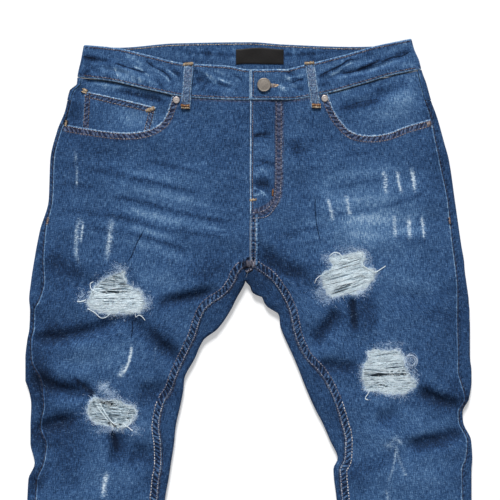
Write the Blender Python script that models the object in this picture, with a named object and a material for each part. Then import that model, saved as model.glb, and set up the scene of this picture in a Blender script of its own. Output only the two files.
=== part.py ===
"""Slim five-pocket jeans with four worn rips, buttoned and lying flat on their back.

X runs from the wearer's right to the wearer's left, Y from the hems to the waist, and Z up.
The plan is drawn in millimetres: x from the centre line, and rise above the crotch seam.
Every panel is a closed cloth wall on one shared surface, folded over at the garment's edges.
"""

from collections import namedtuple

import bmesh
import bpy
import numpy as np

MM = 0.001

# Cloth and gaps, in millimetres
CLOTH = 1.2
BAND_CLOTH = 2.4
THREAD_WEB = 0.9
SEAM_GAP = 0.3
HALF_GAP = SEAM_GAP / 2
CURVED_SEAM_GAP = 0.7    # at the curved seams of the yokes and the waistband
EDGE_RADIUS = 4.0        # of the cloth where front turns into back
SHOULDER = 62.0          # from a folded edge to the crown of the leg
FOLD_MARGIN = 16.0       # folds fade out this near to a folded edge
SEAT_LIFT = 1.6          # the seat lies on its back pockets
HEM = -790.0
BAND_HEIGHT = 42.0
BAND_PROUD = 0.8
APEX = -23.0             # where the two legs part, below the crotch seam
APEX_DRIFT = -5.5        # the crotch seam leans to the wearer's right on its way down to the apex
WAIST_CORNER = 286.0
MIDDLE_RISE = (WAIST_CORNER + HEM) / 2

# The plan of each leg: a row for each section, and distances from the centre line.
# Above the crotch the inseam and the inner edge are the centre seam.
Section = namedtuple("Section", "rise outer outseam inseam inner")
RIGHT_LEG = [
    Section(286, 209, 203, 0, 0),
    Section(278, 212, 206, 0, 0),
    Section(258, 216, 210, 0, 0),
    Section(240, 220, 214.5, 0, 0),
    Section(228, 221, 216, 0, 0),
    Section(219, 230, 225, 0, 0),
    Section(194, 236, 231, 0, 0),
    Section(169, 246, 241, 0, 0),
    Section(131, 255, 250, 0, 0),
    Section(80, 257, 252, 0, 0),
    Section(42, 268, 260.5, 0, 0),
    Section(0, 276, 263, 0, 0),
    Section(-23, 279.5, 262, 22, 5.5),
    Section(-47, 282, 268, 40, 18),
    Section(-60, 281, 275, 50, 24.5),
    Section(-85, 282, 276, 65, 42),
    Section(-98, 284.5, 279, 73.5, 59),
    Section(-123, 287, 278, 84, 71),
    Section(-149, 287, 266, 95, 84),
    Section(-161, 283, 264, 99, 85),
    Section(-180, 279.5, 262, 110, 88.5),
    Section(-210, 280.5, 267, 115.5, 95),
    Section(-230, 280.5, 259, 113, 97),
    Section(-256, 275, 263, 112.5, 101),
    Section(-276, 283, 271, 115.5, 104),
    Section(-301, 284.5, 273, 118, 108.5),
    Section(-360, 287, 276, 125, 114),
    Section(-450, 294, 283, 134, 123),
    Section(-550, 303, 292, 146, 134),
    Section(-650, 312, 302, 158, 147),
    Section(-740, 322, 311, 168, 157),
    Section(HEM, 327, 316, 173, 162),
]
LEFT_LEG = [
    Section(286, 206, 200, 0, 0),
    Section(273, 209.5, 204, 0, 0),
    Section(258, 216, 210.5, 0, 0),
    Section(243, 219.5, 214, 0, 0),
    Section(228, 225, 217.5, 0, 0),
    Section(207, 231, 223, 0, 0),
    Section(187, 238.5, 230, 0, 0),
    Section(155, 247.5, 236, 0, 0),
    Section(131, 254, 241, 0, 0),
    Section(80, 261.5, 251.5, 0, 0),
    Section(21, 270, 258, 0, 0),
    Section(0, 273.5, 261, 0, 0),
    Section(-9, 274, 262, 18, 0),
    Section(-23, 276, 263.5, 34.5, -5.5),
    Section(-34, 278, 264, 42, 0),
    Section(-47, 279, 264, 50, 14.5),
    Section(-60, 280.5, 264, 55, 25.5),
    Section(-72, 280.5, 264, 58, 36),
    Section(-85, 281, 264, 61.5, 39.5),
    Section(-120, 281, 265, 74, 55.5),
    Section(-138, 283, 265, 88, 63),
    Section(-150, 283, 268, 95, 67.5),
    Section(-174, 279.5, 274, 106.5, 77.5),
    Section(-190, 271.5, 266, 112, 85),
    Section(-202, 272, 266.5, 115.5, 91.5),
    Section(-227, 282.5, 277, 121, 102.5),
    Section(-250, 284, 275, 120, 112),
    Section(-263, 283, 270, 114, 106.5),
    Section(-301, 283, 270.5, 117, 110.5),
    Section(-360, 288, 276, 123, 115),
    Section(-450, 295, 283, 134, 124),
    Section(-550, 304, 293, 145, 135),
    Section(-650, 313, 302, 157, 147),
    Section(-740, 322, 311, 168, 157),
    Section(HEM, 327, 316, 173, 162),
]
LEGS = {-1: RIGHT_LEG, 1: LEFT_LEG}
SIDE_NAMES = {-1: "right", 1: "left"}

# Height of the top surface over the middle of a leg: (rise, height)
CROWN = [(286, 13.5), (240, 14), (100, 16), (0, 17), (-100, 18), (-300, 17), (-500, 14), (HEM, 10.5)]

# Largest folds of the front: a positive depth is a valley, a negative one a ridge.
Fold = namedtuple("Fold", "x rise x_end rise_end bend width depth")
FOLDS = [
    Fold(-300, -96, -148, -65, -11, 8, 6.5),
    Fold(-152, -63, -84, -124, -9, 8, 6.0),
    Fold(-292, -140, -196, -168, -9, 8, 6.0),
    Fold(-146, -165, -82, -163, 3, 9, 4.5),
    Fold(-290, -222, -219, -200, 3, 9, 5.5),
    Fold(-171, -214, -171, -262, 0, 8, 4.5),
    Fold(-158, -252, -100, -246, 4, 12, 4.0),
    Fold(-300, -292, -262, -284, 0, 9, 5.0),
    Fold(-120, -54, -32, -35, 3, 7, 6.0),
    Fold(-235, -105, -180, -110, 3, 16, -2.0),
    Fold(10, 16, 80, -19, -4, 9, 4.5),
    Fold(114, -60, 72, -106, 4, 11, 5.0),
    Fold(80, -128, 144, -131, -2, 8, 4.5),
    Fold(208, -160, 280, -183, -5, 8, 6.0),
    Fold(192, -239, 286, -218, 4, 10, 6.0),
    Fold(158, -197, 196, -188, -2, 12, 3.0),
    Fold(129, -42, 133, -88, 0, 4, 4.0),
    Fold(-290, -345, -205, -330, 6, 13, 4.5),
    Fold(-110, -372, -190, -392, -6, 13, 4.5),
    Fold(-292, -440, -215, -425, -5, 12, 4.0),
    Fold(-125, -520, -210, -505, 5, 13, 3.5),
    Fold(-310, -640, -240, -655, 4, 12, 3.0),
    Fold(290, -335, 205, -350, 6, 13, 4.5),
    Fold(110, -395, 190, -410, -6, 13, 4.5),
    Fold(298, -470, 225, -455, 5, 12, 4.0),
    Fold(130, -560, 215, -548, -5, 13, 3.5),
    Fold(160, -690, 235, -705, 4, 12, 3.0),
]

# Waistband edges: (x, rise) along the front and along the back, which meet at the side corners
FRONT_TOP = [(-212, 278), (-166, 273), (-128, 264), (-83, 254), (-30, 251), (0, 246), (39, 246),
             (69, 252), (117, 264), (160, 276), (206, 286)]
FRONT_BOTTOM = [(-220, 237), (-176, 231), (-128, 220), (-75, 210), (0, 207), (45, 207),
                (100, 216), (141, 227), (182, 239), (219, 247)]
BACK_TOP = [(-212, 278), (-168, 275), (-95, 280.5), (0, 282), (44, 279), (133, 276), (170, 277),
            (206, 286)]
BACK_BOTTOM = [(-220, 237), (-168, 234), (-95, 238), (0, 240), (44, 238), (133, 235), (170, 237),
               (219, 247)]
YOKE_CENTRE, YOKE_SIDE, YOKE_REACH = 164.0, 207.0, 215.0
BACK_PLACES = (165.0, 110.0, 55.0)
OVERLAP_END = 0.6        # the wearer's left end of the band covers the right one
UNDERLAP_END = 30.0
LAP_FLAT = 34.0
LAP_EASE = 60.0
FLY_END = 62.0           # the fly is open above this rise
FLY_UNDERLAP = 6.0

# Front pocket openings: (distance from the centre line, rise)
POCKET_EDGES = {
    -1: [(99, 214), (104, 196), (112, 180), (128, 170), (154, 166), (184, 168), (216, 173), (238, 177)],
    1: [(99, 216), (106, 196), (117, 179), (130, 167), (150, 162.5), (174, 165), (198, 174), (232, 184)],
}
POCKET_CUT_OUT = 275.0
POCKET_CUT_TOP = 275.0
FACING_INNER = 84.0
FACING_BOTTOM = 146.0
FACING_DROP = {-1: 2 * (CLOTH + SEAM_GAP), 1: CLOTH + SEAM_GAP}
COIN_POCKET = {"top": ((-211, 220), (-119, 198)), "bottom": ((-215, 162), (-129, 157))}
BACK_POCKET = [(25, 142), (168, 157), (163, 52), (98, 17), (34, 45)]

# Rips in the fronts: (x, rise) round each hole
RIPS = {
    "thigh_right": (-1, [(-207, -43), (-201, -30.5), (-194, -22.5), (-183, -16), (-168, -10),
                         (-159, -6.5), (-155.5, -13.5), (-153, -23), (-139.5, -30.5), (-132, -46),
                         (-135.5, -58), (-145, -64), (-172, -64.5), (-194, -63), (-205, -56)]),
    "knee_right": (-1, [(-208, -187), (-205, -175), (-196.5, -169.5), (-187, -176), (-171.5, -175),
                        (-161, -178), (-147, -182), (-143.5, -193), (-151, -203), (-161, -206),
                        (-173, -205.5), (-190.5, -207), (-200, -201)]),
    "thigh_left": (1, [(99.5, 7.5), (114, 11.5), (142, 14.5), (145.5, 7), (145, -4), (156, -7.5),
                       (160, -14), (155, -23.5), (143.5, -33), (127, -39), (112, -43), (102, -39.5),
                       (94, -33), (91, -20), (91.5, -14), (103, -6.5)]),
    "knee_left": (1, [(149, -111), (160, -108), (184, -108.5), (191, -113), (196, -124),
                      (199.5, -137), (209, -151), (207, -160), (194, -163), (182.5, -165),
                      (153, -163), (145.5, -155), (142.5, -145), (145, -132), (147, -122)]),
}
WEB_CELL = 16.0
CUT_REACH = 60.0         # how far a cutter runs above and below the cloth

# Belt loops: the place of each top and bottom end, and the width
LOOP_WIDTH = 12.0
LOOP_CLOTH = 1.3
LOOP_ARCH = 2.0
FRONT_LOOPS = {-1: ((-77.5, 254), (-82, 196)), 1: ((75.5, 255), (84, 197))}
BACK_LOOPS = {"back_right": -140.0, "back_centre": 0.0, "back_left": 140.0}
BACK_LOOP_LENGTH = 57.0

# Metal and label
BUTTON = {"x": 17.8, "rise": 226.0, "radius": 8.75}
RIVETS = {-1: (-93.5, 207.0), 1: (95.0, 209.0)}
RIVET_RADIUS = 4.3
LABEL = {"x": (-18, 43), "rise": (254, 274), "cloth": 1.0}

# Rises of the panels' rows at the outseam, below the waistband
YOKE_ROWS = [226.0, YOKE_SIDE]
SEAT_ROWS = [175.0, 140.0, 105.0, 70.0, 35.0, 0.0]
LEG_ROWS = ([-3.0, -12.0, -22.0, -24.0] + [-24.0 - 24.0 * step for step in range(1, 13)]
            + [-350.0, -400.0, -470.0, -560.0, -660.0, -740.0, HEM])
FRONT_COLUMNS = 12
FLOOR_COLUMNS = 5
ARC_STEPS = EDGE_RADIUS * (1 - np.cos(np.radians([90, 45, 0])))


def smooth_line(points):
    """A smooth curve through (at, value) pairs that never overshoots them."""
    at, value = np.array(sorted(points), float).T
    step = np.diff(at)
    pitch = np.diff(value) / step
    slope = np.zeros(len(at))
    slope[0], slope[-1] = pitch[0], pitch[-1]
    turning = pitch[:-1] * pitch[1:] > 0
    with np.errstate(divide="ignore", invalid="ignore"):
        mean = 2 * pitch[:-1] * pitch[1:] / (pitch[:-1] + pitch[1:])
    slope[1:-1] = np.where(turning, mean, 0)

    def read(where):
        where = np.clip(np.asarray(where, float), at[0], at[-1])
        i = np.clip(np.searchsorted(at, where) - 1, 0, len(step) - 1)
        t = (where - at[i]) / step[i]
        ends = value[i] * (1 + 2 * t) * (1 - t) ** 2 + value[i + 1] * t * t * (3 - 2 * t)
        bend = step[i] * (slope[i] * t * (1 - t) ** 2 - slope[i + 1] * t * t * (1 - t))
        return ends + bend

    return read


def ramp(value, start, end):
    """0 before start, 1 after end, and smooth between."""
    t = np.clip((value - start) / (end - start), 0, 1)
    return t * t * (3 - 2 * t)


LINE = {side: {column: smooth_line([(row.rise, getattr(row, column)) for row in rows])
               for column in Section._fields[1:]} for side, rows in LEGS.items()}
crown = smooth_line(CROWN)
front_top, front_bottom = smooth_line(FRONT_TOP), smooth_line(FRONT_BOTTOM)
back_top, back_bottom = smooth_line(BACK_TOP), smooth_line(BACK_BOTTOM)


def yoke_seam(x):
    """Rise of the seam under the yoke: it drops in a straight line to the centre back."""
    return np.interp(np.abs(x), (0, YOKE_REACH), (YOKE_CENTRE, YOKE_SIDE))


def folded_edges():
    """Straight pieces along the four folded edges, with the direction that faces out of the cloth."""
    starts, ends, outs = [], [], []
    for side in LEGS:
        for column, highest, way in (("outer", WAIST_CORNER + 20, side), ("inner", APEX, -side)):
            rise = np.linspace(highest, HEM - 20, 140)
            path = np.stack([side * LINE[side][column](rise), rise], -1)
            along = np.diff(path, axis=0)
            normal = np.stack([-along[:, 1], along[:, 0]], -1) * way
            starts.append(path[:-1])
            ends.append(path[1:])
            outs.append(normal / np.linalg.norm(normal, axis=1, keepdims=True))
    return np.concatenate(starts), np.concatenate(ends), np.concatenate(outs)


EDGE_START, EDGE_END, EDGE_OUT = folded_edges()


def nearest(x, rise, starts, ends):
    """Distance from plan points to a chain of straight pieces, the piece, and the place on it."""
    point = np.stack(np.broadcast_arrays(x, rise), -1)[..., None, :].astype(float)
    along = ends - starts
    t = ((point - starts) * along).sum(-1) / (along**2).sum(-1)
    t = np.clip(t, 0, 1)
    gap = np.linalg.norm(point - starts - t[..., None] * along, axis=-1)
    piece = gap.argmin(-1)
    return gap.min(-1), piece, np.take_along_axis(t, piece[..., None], -1)[..., 0]


def fold_height(fold, x, rise):
    """How far one fold moves the surface: a soft trough that fades out at both ends."""
    start = np.array([fold.x, fold.rise], float)
    end = np.array([fold.x_end, fold.rise_end], float)
    along = end - start
    across = np.array([-along[1], along[0]]) / np.linalg.norm(along)
    t = np.linspace(0, 1, 9)[:, None]
    path = start + along * t + across * fold.bend * 4 * t * (1 - t)
    gap, piece, part = nearest(x, rise, path[:-1], path[1:])
    share = (piece + part) / (len(path) - 1)
    fade = ramp(share, -0.02, 0.25) * (1 - ramp(share, 0.7, 1.02))
    return -fold.depth * fade * np.exp(-((gap / fold.width) ** 2))


def seat_lift(rise):
    return SEAT_LIFT * ramp(rise, -80, -10)


def swell(x, rise):
    """Height that the crown, the folds and the fly add to the flat garment's edge thickness."""
    gap, _, _ = nearest(x, rise, EDGE_START, EDGE_END)
    shoulder = np.sin(np.pi / 2 * np.clip(gap / SHOULDER, 0, 1))
    height = (crown(rise) - 2 * EDGE_RADIUS - seat_lift(rise)) * shoulder
    folds = sum(fold_height(fold, x, rise) for fold in FOLDS)
    return height + folds * np.clip(gap / FOLD_MARGIN, 0, 1)


def skin(x, rise, face):
    """Points and outward normals of the outer surface; face is 1 on top and -1 beneath."""
    x, rise, face = np.broadcast_arrays(np.asarray(x, float), rise, face)
    gap, piece, _ = nearest(x, rise, EDGE_START, EDGE_END)
    lean = np.clip(1 - gap / EDGE_RADIUS, 0, 1)
    climb = np.sqrt(1 - lean**2)
    small = 0.5
    slope_x = (swell(x + small, rise) - swell(x - small, rise)) / (2 * small)
    slope_rise = (swell(x, rise + small) - swell(x, rise - small)) / (2 * small)
    on_top = face > 0
    height = seat_lift(rise) + EDGE_RADIUS * (1 + face * climb) + np.where(on_top, swell(x, rise), 0)
    tilt = np.where(on_top, climb, 0)
    normal = np.stack([EDGE_OUT[piece, 0] * lean - slope_x * tilt,
                       EDGE_OUT[piece, 1] * lean - slope_rise * tilt, face * climb], -1)
    normal /= np.linalg.norm(normal, axis=-1, keepdims=True)
    return np.stack([x, rise - MIDDLE_RISE, height], -1), normal


def material(name, colour, roughness, metallic=0.0):
    made = bpy.data.materials.new(name)
    made.use_nodes = True
    shader = made.node_tree.nodes["Principled BSDF"]
    shader.inputs["Base Color"].default_value = (*colour, 1.0)
    shader.inputs["Roughness"].default_value = roughness
    shader.inputs["Metallic"].default_value = metallic
    return made


def add_object(name, mesh_data, made_of=None):
    """Turn a bmesh into a named object, in metres."""
    bmesh.ops.recalc_face_normals(mesh_data, faces=mesh_data.faces)
    mesh = bpy.data.meshes.new(name)
    mesh_data.to_mesh(mesh)
    mesh_data.free()
    made = bpy.data.objects.new(name, mesh)
    bpy.context.scene.collection.objects.link(made)
    if made_of:
        mesh.materials.append(made_of)
    return made


def shell(name, outer, inner, made_of, keep=None):
    """One closed body: a grid of outer points, the same grid of inner points, and a rim."""
    rows, columns = outer.shape[:2]
    loops = [[(r, c), (r, c + 1), (r + 1, c + 1), (r + 1, c)]
             for r in range(rows - 1) for c in range(columns - 1) if keep is None or keep[r, c]]
    walked = {step for loop in loops for step in zip(loop, loop[1:] + loop[:1])}
    used = sorted({corner for loop in loops for corner in loop})
    mesh = bmesh.new()
    front = {corner: mesh.verts.new(outer[corner] * MM) for corner in used}
    back = {corner: mesh.verts.new(inner[corner] * MM) for corner in used}
    for loop in loops:
        mesh.faces.new([front[corner] for corner in loop])
        mesh.faces.new([back[corner] for corner in reversed(loop)])
    for a, b in sorted(walked):
        if (b, a) not in walked:
            mesh.faces.new([front[b], front[a], back[a], back[b]])
    return add_object(name, mesh, made_of)


def cloth_wall(name, x, rise, face, made_of, cloth=CLOTH, proud=0.0, keep=None):
    """A cloth wall on the garment's surface, moved out by proud and then thickened inward."""
    points, normals = skin(x, rise, face)
    proud = np.broadcast_to(proud, points.shape[:2])[..., None]
    outer = points + normals * proud
    return shell(name, outer, outer - normals * cloth, made_of, keep)


def plate(name, outline, low, high, made_of=None):
    """A flat closed solid on a plan outline of (x, rise), between two heights."""
    mesh = bmesh.new()
    ends = [[mesh.verts.new((x * MM, (rise - MIDDLE_RISE) * MM, z * MM)) for x, rise in outline]
            for z in (low, high)]
    for loop in ends:
        mesh.faces.new(loop)
    for i in range(len(outline)):
        j = (i + 1) % len(outline)
        mesh.faces.new([ends[0][i], ends[0][j], ends[1][j], ends[1][i]])
    return add_object(name, mesh, made_of)


def cut(target, name, outline, operation="DIFFERENCE"):
    """Cut an object with an upright prism on a plan outline."""
    cutter = plate(name, outline, -CUT_REACH, CUT_REACH)
    cutter.hide_render = True
    cutter.display_type = "WIRE"
    modifier = target.modifiers.new(name, "BOOLEAN")
    modifier.operation = operation
    modifier.object = cutter


def shrunk(outline, gap):
    """An outline moved inward by gap, for a piece that lies in a hole."""
    points = np.array(outline, float)
    before, after = np.roll(points, 1, axis=0), np.roll(points, -1, axis=0)
    area = (points[:, 0] * after[:, 1] - after[:, 0] * points[:, 1]).sum()
    into = np.sign(area)

    def inward(along):
        normal = np.stack([-along[:, 1], along[:, 0]], -1) * into
        return normal / np.linalg.norm(normal, axis=1, keepdims=True)

    first, second = inward(points - before), inward(after - points)
    middle = first + second
    reach = 2 / np.maximum((middle**2).sum(-1, keepdims=True), 1)
    return [tuple(point) for point in points + middle * reach * gap]


def waist_rise(side):
    """Rise of the waistband seam where it meets the outseam."""
    outseam = side * LINE[side]["outseam"](240)
    return float(front_bottom(outseam)) - CURVED_SEAM_GAP


def follow_seam(x, nominal, seam):
    """Bend the rows above the crotch to a curved seam, and keep them where they meet the outseam."""
    share = seam(x) / seam(x[:, :1])
    return nominal[:, None] * np.where(nominal[:, None] > 0, share, 1)


def front_panel(side, denim):
    """A front: from the outseam to the fly, and down the leg to the inseam."""
    nominal = np.array([waist_rise(side)] + YOKE_ROWS + SEAT_ROWS + LEG_ROWS)
    outer = LINE[side]["outseam"](nominal) - HALF_GAP
    inner = LINE[side]["inseam"](nominal) + HALF_GAP
    if side < 0:
        inner = inner - (FLY_UNDERLAP + HALF_GAP) * ramp(nominal, FLY_END, FLY_END + 8)
    across = np.linspace(0, 1, FRONT_COLUMNS)
    x = side * (outer[:, None] * (1 - across) + inner[:, None] * across)
    rise = follow_seam(x, nominal, front_bottom)
    proud = 0.0
    if side > 0:
        proud = (CLOTH + 2 * SEAM_GAP) * ramp(rise, 2, 32) * (1 - ramp(x, 20, 36))
    made = cloth_wall(f"front_{SIDE_NAMES[side]}", x, rise, np.ones_like(x), denim, proud=proud)
    edge = [(side * out, edge_rise) for out, edge_rise in POCKET_EDGES[side]]
    edge += [(side * POCKET_CUT_OUT, edge[-1][1]), (side * POCKET_CUT_OUT, POCKET_CUT_TOP),
             (edge[0][0], POCKET_CUT_TOP)]
    cut(made, f"cut_pocket_{SIDE_NAMES[side]}", edge)
    for name, (rip_side, outline) in RIPS.items():
        if rip_side == side:
            cut(made, f"cut_rip_{name}", outline)
    return made


def across_outer_turn(side, nominal):
    """Distances from the centre line round the outer folded edge, and the face of each column."""
    outseam, outer = LINE[side]["outseam"](nominal) + HALF_GAP, LINE[side]["outer"](nominal)
    down = [outer - step for step in ARC_STEPS]
    out = [outseam] + down + down[-2::-1]
    return np.stack(out, -1), np.array([1] * 4 + [-1] * 2)


def across_floor(side, nominal):
    """Distances from the centre line across the part of a back that lies on the floor."""
    parted = nominal <= APEX
    start = LINE[side]["outer"](nominal) - EDGE_RADIUS - SEAM_GAP
    seam = side * APEX_DRIFT * ramp(-nominal, 0, -APEX) + HALF_GAP
    end = np.where(parted, LINE[side]["inner"](nominal) + EDGE_RADIUS + SEAM_GAP, seam)
    share = np.linspace(0, 1, FLOOR_COLUMNS)
    return start[:, None] * (1 - share) + end[:, None] * share, np.full(FLOOR_COLUMNS, -1)


def across_inner_turn(side, nominal):
    """Distances from the centre line round the inner folded edge and up to the inseam."""
    inseam, inner = LINE[side]["inseam"](nominal) - HALF_GAP, LINE[side]["inner"](nominal)
    seam = side * APEX_DRIFT * ramp(-nominal, 0, -APEX) + HALF_GAP
    parted = nominal <= APEX
    edge = np.where(parted, inner, seam)
    up = [edge + np.where(parted, step, 0) for step in ARC_STEPS]
    out = up + up[-2::-1] + [inseam]
    return np.stack(out, -1), np.array([-1] * 3 + [1] * 3)


def back_panel(side, denim):
    """A back: one floor, and the two turns that fold over the edges up to the seams with the front."""
    name = f"back_{SIDE_NAMES[side]}"
    nominal = np.array([YOKE_SIDE] + SEAT_ROWS + LEG_ROWS)
    out, face = across_floor(side, nominal)
    place = follow_seam(side * out, nominal, yoke_seam)
    cloth_wall(name, side * out, place, face, denim)
    out, face = across_outer_turn(side, nominal)
    cloth_wall(f"{name}_outer_turn", side * out, follow_seam(side * out, nominal, yoke_seam), face, denim)
    nominal = np.array(LEG_ROWS)
    out, face = across_inner_turn(side, nominal)
    keep = np.ones((len(nominal) - 1, len(face) - 1), bool)
    keep[:, :4] = (nominal[:-1] < APEX)[:, None]
    cloth_wall(f"{name}_inner_turn", side * out, nominal[:, None] + 0 * out, face, denim, keep=keep)


def yoke(side, denim):
    """A yoke: the shaped strip between the back and the waistband, and its turn over the edge."""
    name = f"yoke_{SIDE_NAMES[side]}"
    nominal = np.array([YOKE_ROWS[1], YOKE_ROWS[0], waist_rise(side)])
    share = ((nominal - nominal[0]) / (nominal[-1] - nominal[0]))[:, None]
    floor, floor_face = across_floor(side, nominal)
    floor[:, 1:] = np.array(BACK_PLACES + (HALF_GAP,))
    turn, turn_face = across_outer_turn(side, nominal)
    for piece, out, face in ((name, floor, floor_face), (f"{name}_outer_turn", turn, turn_face)):
        x = side * out
        low = yoke_seam(x) + CURVED_SEAM_GAP
        high = np.where(face > 0, front_bottom(x), back_bottom(x)) - CURVED_SEAM_GAP
        cloth_wall(piece, x, low + (high - low) * share, face, denim)


def waistband(denim):
    """One strip from the fly's top layer round the back to the layer under the button."""
    share = np.array([0.0, 0.5, 1.0])
    corner = {side: LINE[side]["outer"](smooth_line([(0, front_bottom(side * 219)),
                                                     (1, front_top(side * 209))])(share))
              for side in LEGS}
    columns = []
    for place in (OVERLAP_END, 17.0, LAP_FLAT, 47.0, LAP_EASE, 95.0, 130.0, 170.0):
        columns.append((np.full(3, place), 1))
    columns += [(corner[1] - step, 1) for step in ARC_STEPS]
    columns += [(corner[1] - step, -1) for step in ARC_STEPS[-2::-1]]
    for place in BACK_PLACES + (0.0,) + tuple(-place for place in BACK_PLACES[::-1]):
        columns.append((np.full(3, place), -1))
    columns += [(-(corner[-1] - step), -1) for step in ARC_STEPS]
    columns += [(-(corner[-1] - step), 1) for step in ARC_STEPS[-2::-1]]
    for place in (-170.0, -130.0, -95.0, -60.0, -25.0, 0.0, UNDERLAP_END):
        columns.append((np.full(3, place), 1))
    x = np.stack([place for place, _ in columns], -1)
    face = np.array([side for _, side in columns])
    low = np.where(face > 0, front_bottom(x), back_bottom(x))
    high = np.where(face > 0, front_top(x), back_top(x))
    rise = low + (high - low) * share[:, None]
    covering = np.arange(len(columns)) < 8
    lap = (BAND_CLOTH + SEAM_GAP) * np.where(covering, 1 - ramp(x, LAP_FLAT, LAP_EASE), 0)
    gap, _, _ = nearest(x, rise, EDGE_START, EDGE_END)
    proud = np.where(face > 0, BAND_PROUD * np.clip(gap / EDGE_RADIUS, 0, 1), 0) + lap
    return cloth_wall("waistband", x, rise, face, denim, cloth=BAND_CLOTH, proud=proud)


def pocket_facing(side, denim):
    """The denim seen inside a front pocket, one or two cloths below the front."""
    share = np.linspace(0, 1, 5)
    nominal = FACING_BOTTOM + (float(front_bottom(side * 219)) - FACING_BOTTOM) * share
    outer = LINE[side]["outseam"](nominal) - SEAM_GAP
    across = np.linspace(0, 1, 8)
    x = side * (outer[:, None] * (1 - across) + FACING_INNER * across)
    rise = FACING_BOTTOM + (front_bottom(x) - 4 * SEAM_GAP - FACING_BOTTOM) * share[:, None]
    name = f"pocket_facing_{SIDE_NAMES[side]}"
    return cloth_wall(name, x, rise, np.ones_like(x), denim, proud=-FACING_DROP[side])


def coin_pocket(denim):
    """The small pocket on the wearer's right facing; its lower edge passes under the front."""
    ends = np.array([COIN_POCKET["top"], COIN_POCKET["bottom"]], float)
    across, down = np.linspace(0, 1, 5)[None, :, None], np.linspace(0, 1, 4)[:, None, None]
    top = ends[0, 0] * (1 - across) + ends[0, 1] * across
    bottom = ends[1, 0] * (1 - across) + ends[1, 1] * across
    grid = top * (1 - down) + bottom * down
    x, rise = grid[..., 0], grid[..., 1]
    return cloth_wall("coin_pocket", x, rise, np.ones_like(x), denim, proud=-(CLOTH + SEAM_GAP))


def front_loop(side, denim):
    """A belt loop: it lies on the band, arched clear of it, and ends on the front below."""
    (x_top, rise_top), (x_low, rise_low) = FRONT_LOOPS[side]
    along = np.array([0.0, 0.12, 0.3, 0.5, 0.7, 0.79, 0.87, 1.0])
    x = x_top + (x_low - x_top) * along[:, None] + np.array([-0.5, 0.5]) * LOOP_WIDTH
    rise = rise_top + (rise_low - rise_top) * along[:, None] + 0 * x
    points, _ = skin(x, rise, np.ones_like(x))
    on_band = ramp(rise, front_bottom(x) - 7, front_bottom(x) - 1)
    arch = LOOP_ARCH * np.sin(np.pi * np.clip(along / 0.8, 0, 1))[:, None]
    under = points[..., 2] + BAND_PROUD * on_band + 1.5 * SEAM_GAP + arch
    under = np.broadcast_to(under.max(axis=1, keepdims=True), under.shape)
    low, high = points.copy(), points.copy()
    low[..., 2], high[..., 2] = under, under + LOOP_CLOTH
    return shell(f"belt_loop_front_{SIDE_NAMES[side]}", high, low, denim)


def back_loop(name, x, denim):
    """A belt loop of the back, pressed flat under the band."""
    top = float(back_top(x)) - 1
    half = LOOP_WIDTH / 2
    outline = [(x - half, top), (x + half, top), (x + half, top - BACK_LOOP_LENGTH),
               (x - half, top - BACK_LOOP_LENGTH)]
    return plate(f"belt_loop_{name}", outline, 0, LOOP_CLOTH, denim)


def back_pocket(side, denim):
    """A five-sided patch pocket under the seat."""
    outline = [(side * out, rise) for out, rise in BACK_POCKET]
    return plate(f"back_pocket_{SIDE_NAMES[side]}", outline, 0, SEAT_LIFT - SEAM_GAP, denim)


def thread_web(name, outline, threads):
    """The bared cross threads of a rip, as one thin sheet that lies in its hole."""
    points = np.array(outline)
    (x_low, rise_low), (x_high, rise_high) = points.min(axis=0) - 3, points.max(axis=0) + 3
    columns = np.linspace(x_low, x_high, int((x_high - x_low) / WEB_CELL) + 2)
    rows = np.linspace(rise_low, rise_high, int((rise_high - rise_low) / WEB_CELL) + 2)
    x, rise = np.meshgrid(columns, rows)
    made = cloth_wall(f"rip_threads_{name}", x, rise, np.ones_like(x), threads,
                      cloth=THREAD_WEB, proud=-HALF_GAP)
    cut(made, f"cut_web_{name}", shrunk(outline, SEAM_GAP), "INTERSECT")
    return made


def turned(name, centre, profile, made_of, segments=24):
    """A round piece from (radius, height) pairs, from its foot to the middle of its face."""
    mesh = bmesh.new()
    turn = [(np.cos(angle), np.sin(angle)) for angle in 2 * np.pi * np.arange(segments) / segments]
    rings = [[mesh.verts.new((radius * c * MM, radius * s * MM, height * MM)) for c, s in turn]
             for radius, height in profile]
    for low, high in zip(rings, rings[1:]):
        for i in range(segments):
            j = (i + 1) % segments
            mesh.faces.new([low[i], low[j], high[j], high[i]])
    mesh.faces.new(rings[0])
    mesh.faces.new(rings[-1])
    made = add_object(name, mesh, made_of)
    made.data.shade_smooth()
    made.location = centre
    return made


def seat_height(x, rise, radius, proud):
    """Height of the highest cloth under a round piece."""
    turn = np.radians(np.arange(0, 360, 30))
    xs = np.append(x + radius * np.cos(turn), x)
    rises = np.append(rise + radius * np.sin(turn), rise)
    points, _ = skin(xs, rises, np.ones_like(xs))
    return float(points[:, 2].max()) + proud


def waist_button(metal):
    """A tack button: a foot, a rolled rim and a domed face."""
    lap = BAND_PROUD + BAND_CLOTH + SEAM_GAP
    base = seat_height(BUTTON["x"], BUTTON["rise"], 3.5, lap) + SEAM_GAP
    r = BUTTON["radius"]
    profile = [(3.5, 0), (3.5, 1.4), (0.9 * r, 1.4), (r, 2.1), (0.97 * r, 3.0), (0.88 * r, 3.4),
               (0.76 * r, 3.1), (0.7 * r, 2.9), (0.45 * r, 3.3), (0.15 * r, 3.5)]
    centre = (BUTTON["x"] * MM, (BUTTON["rise"] - MIDDLE_RISE) * MM, base * MM)
    return turned("waist_button", centre, profile, metal)


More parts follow.
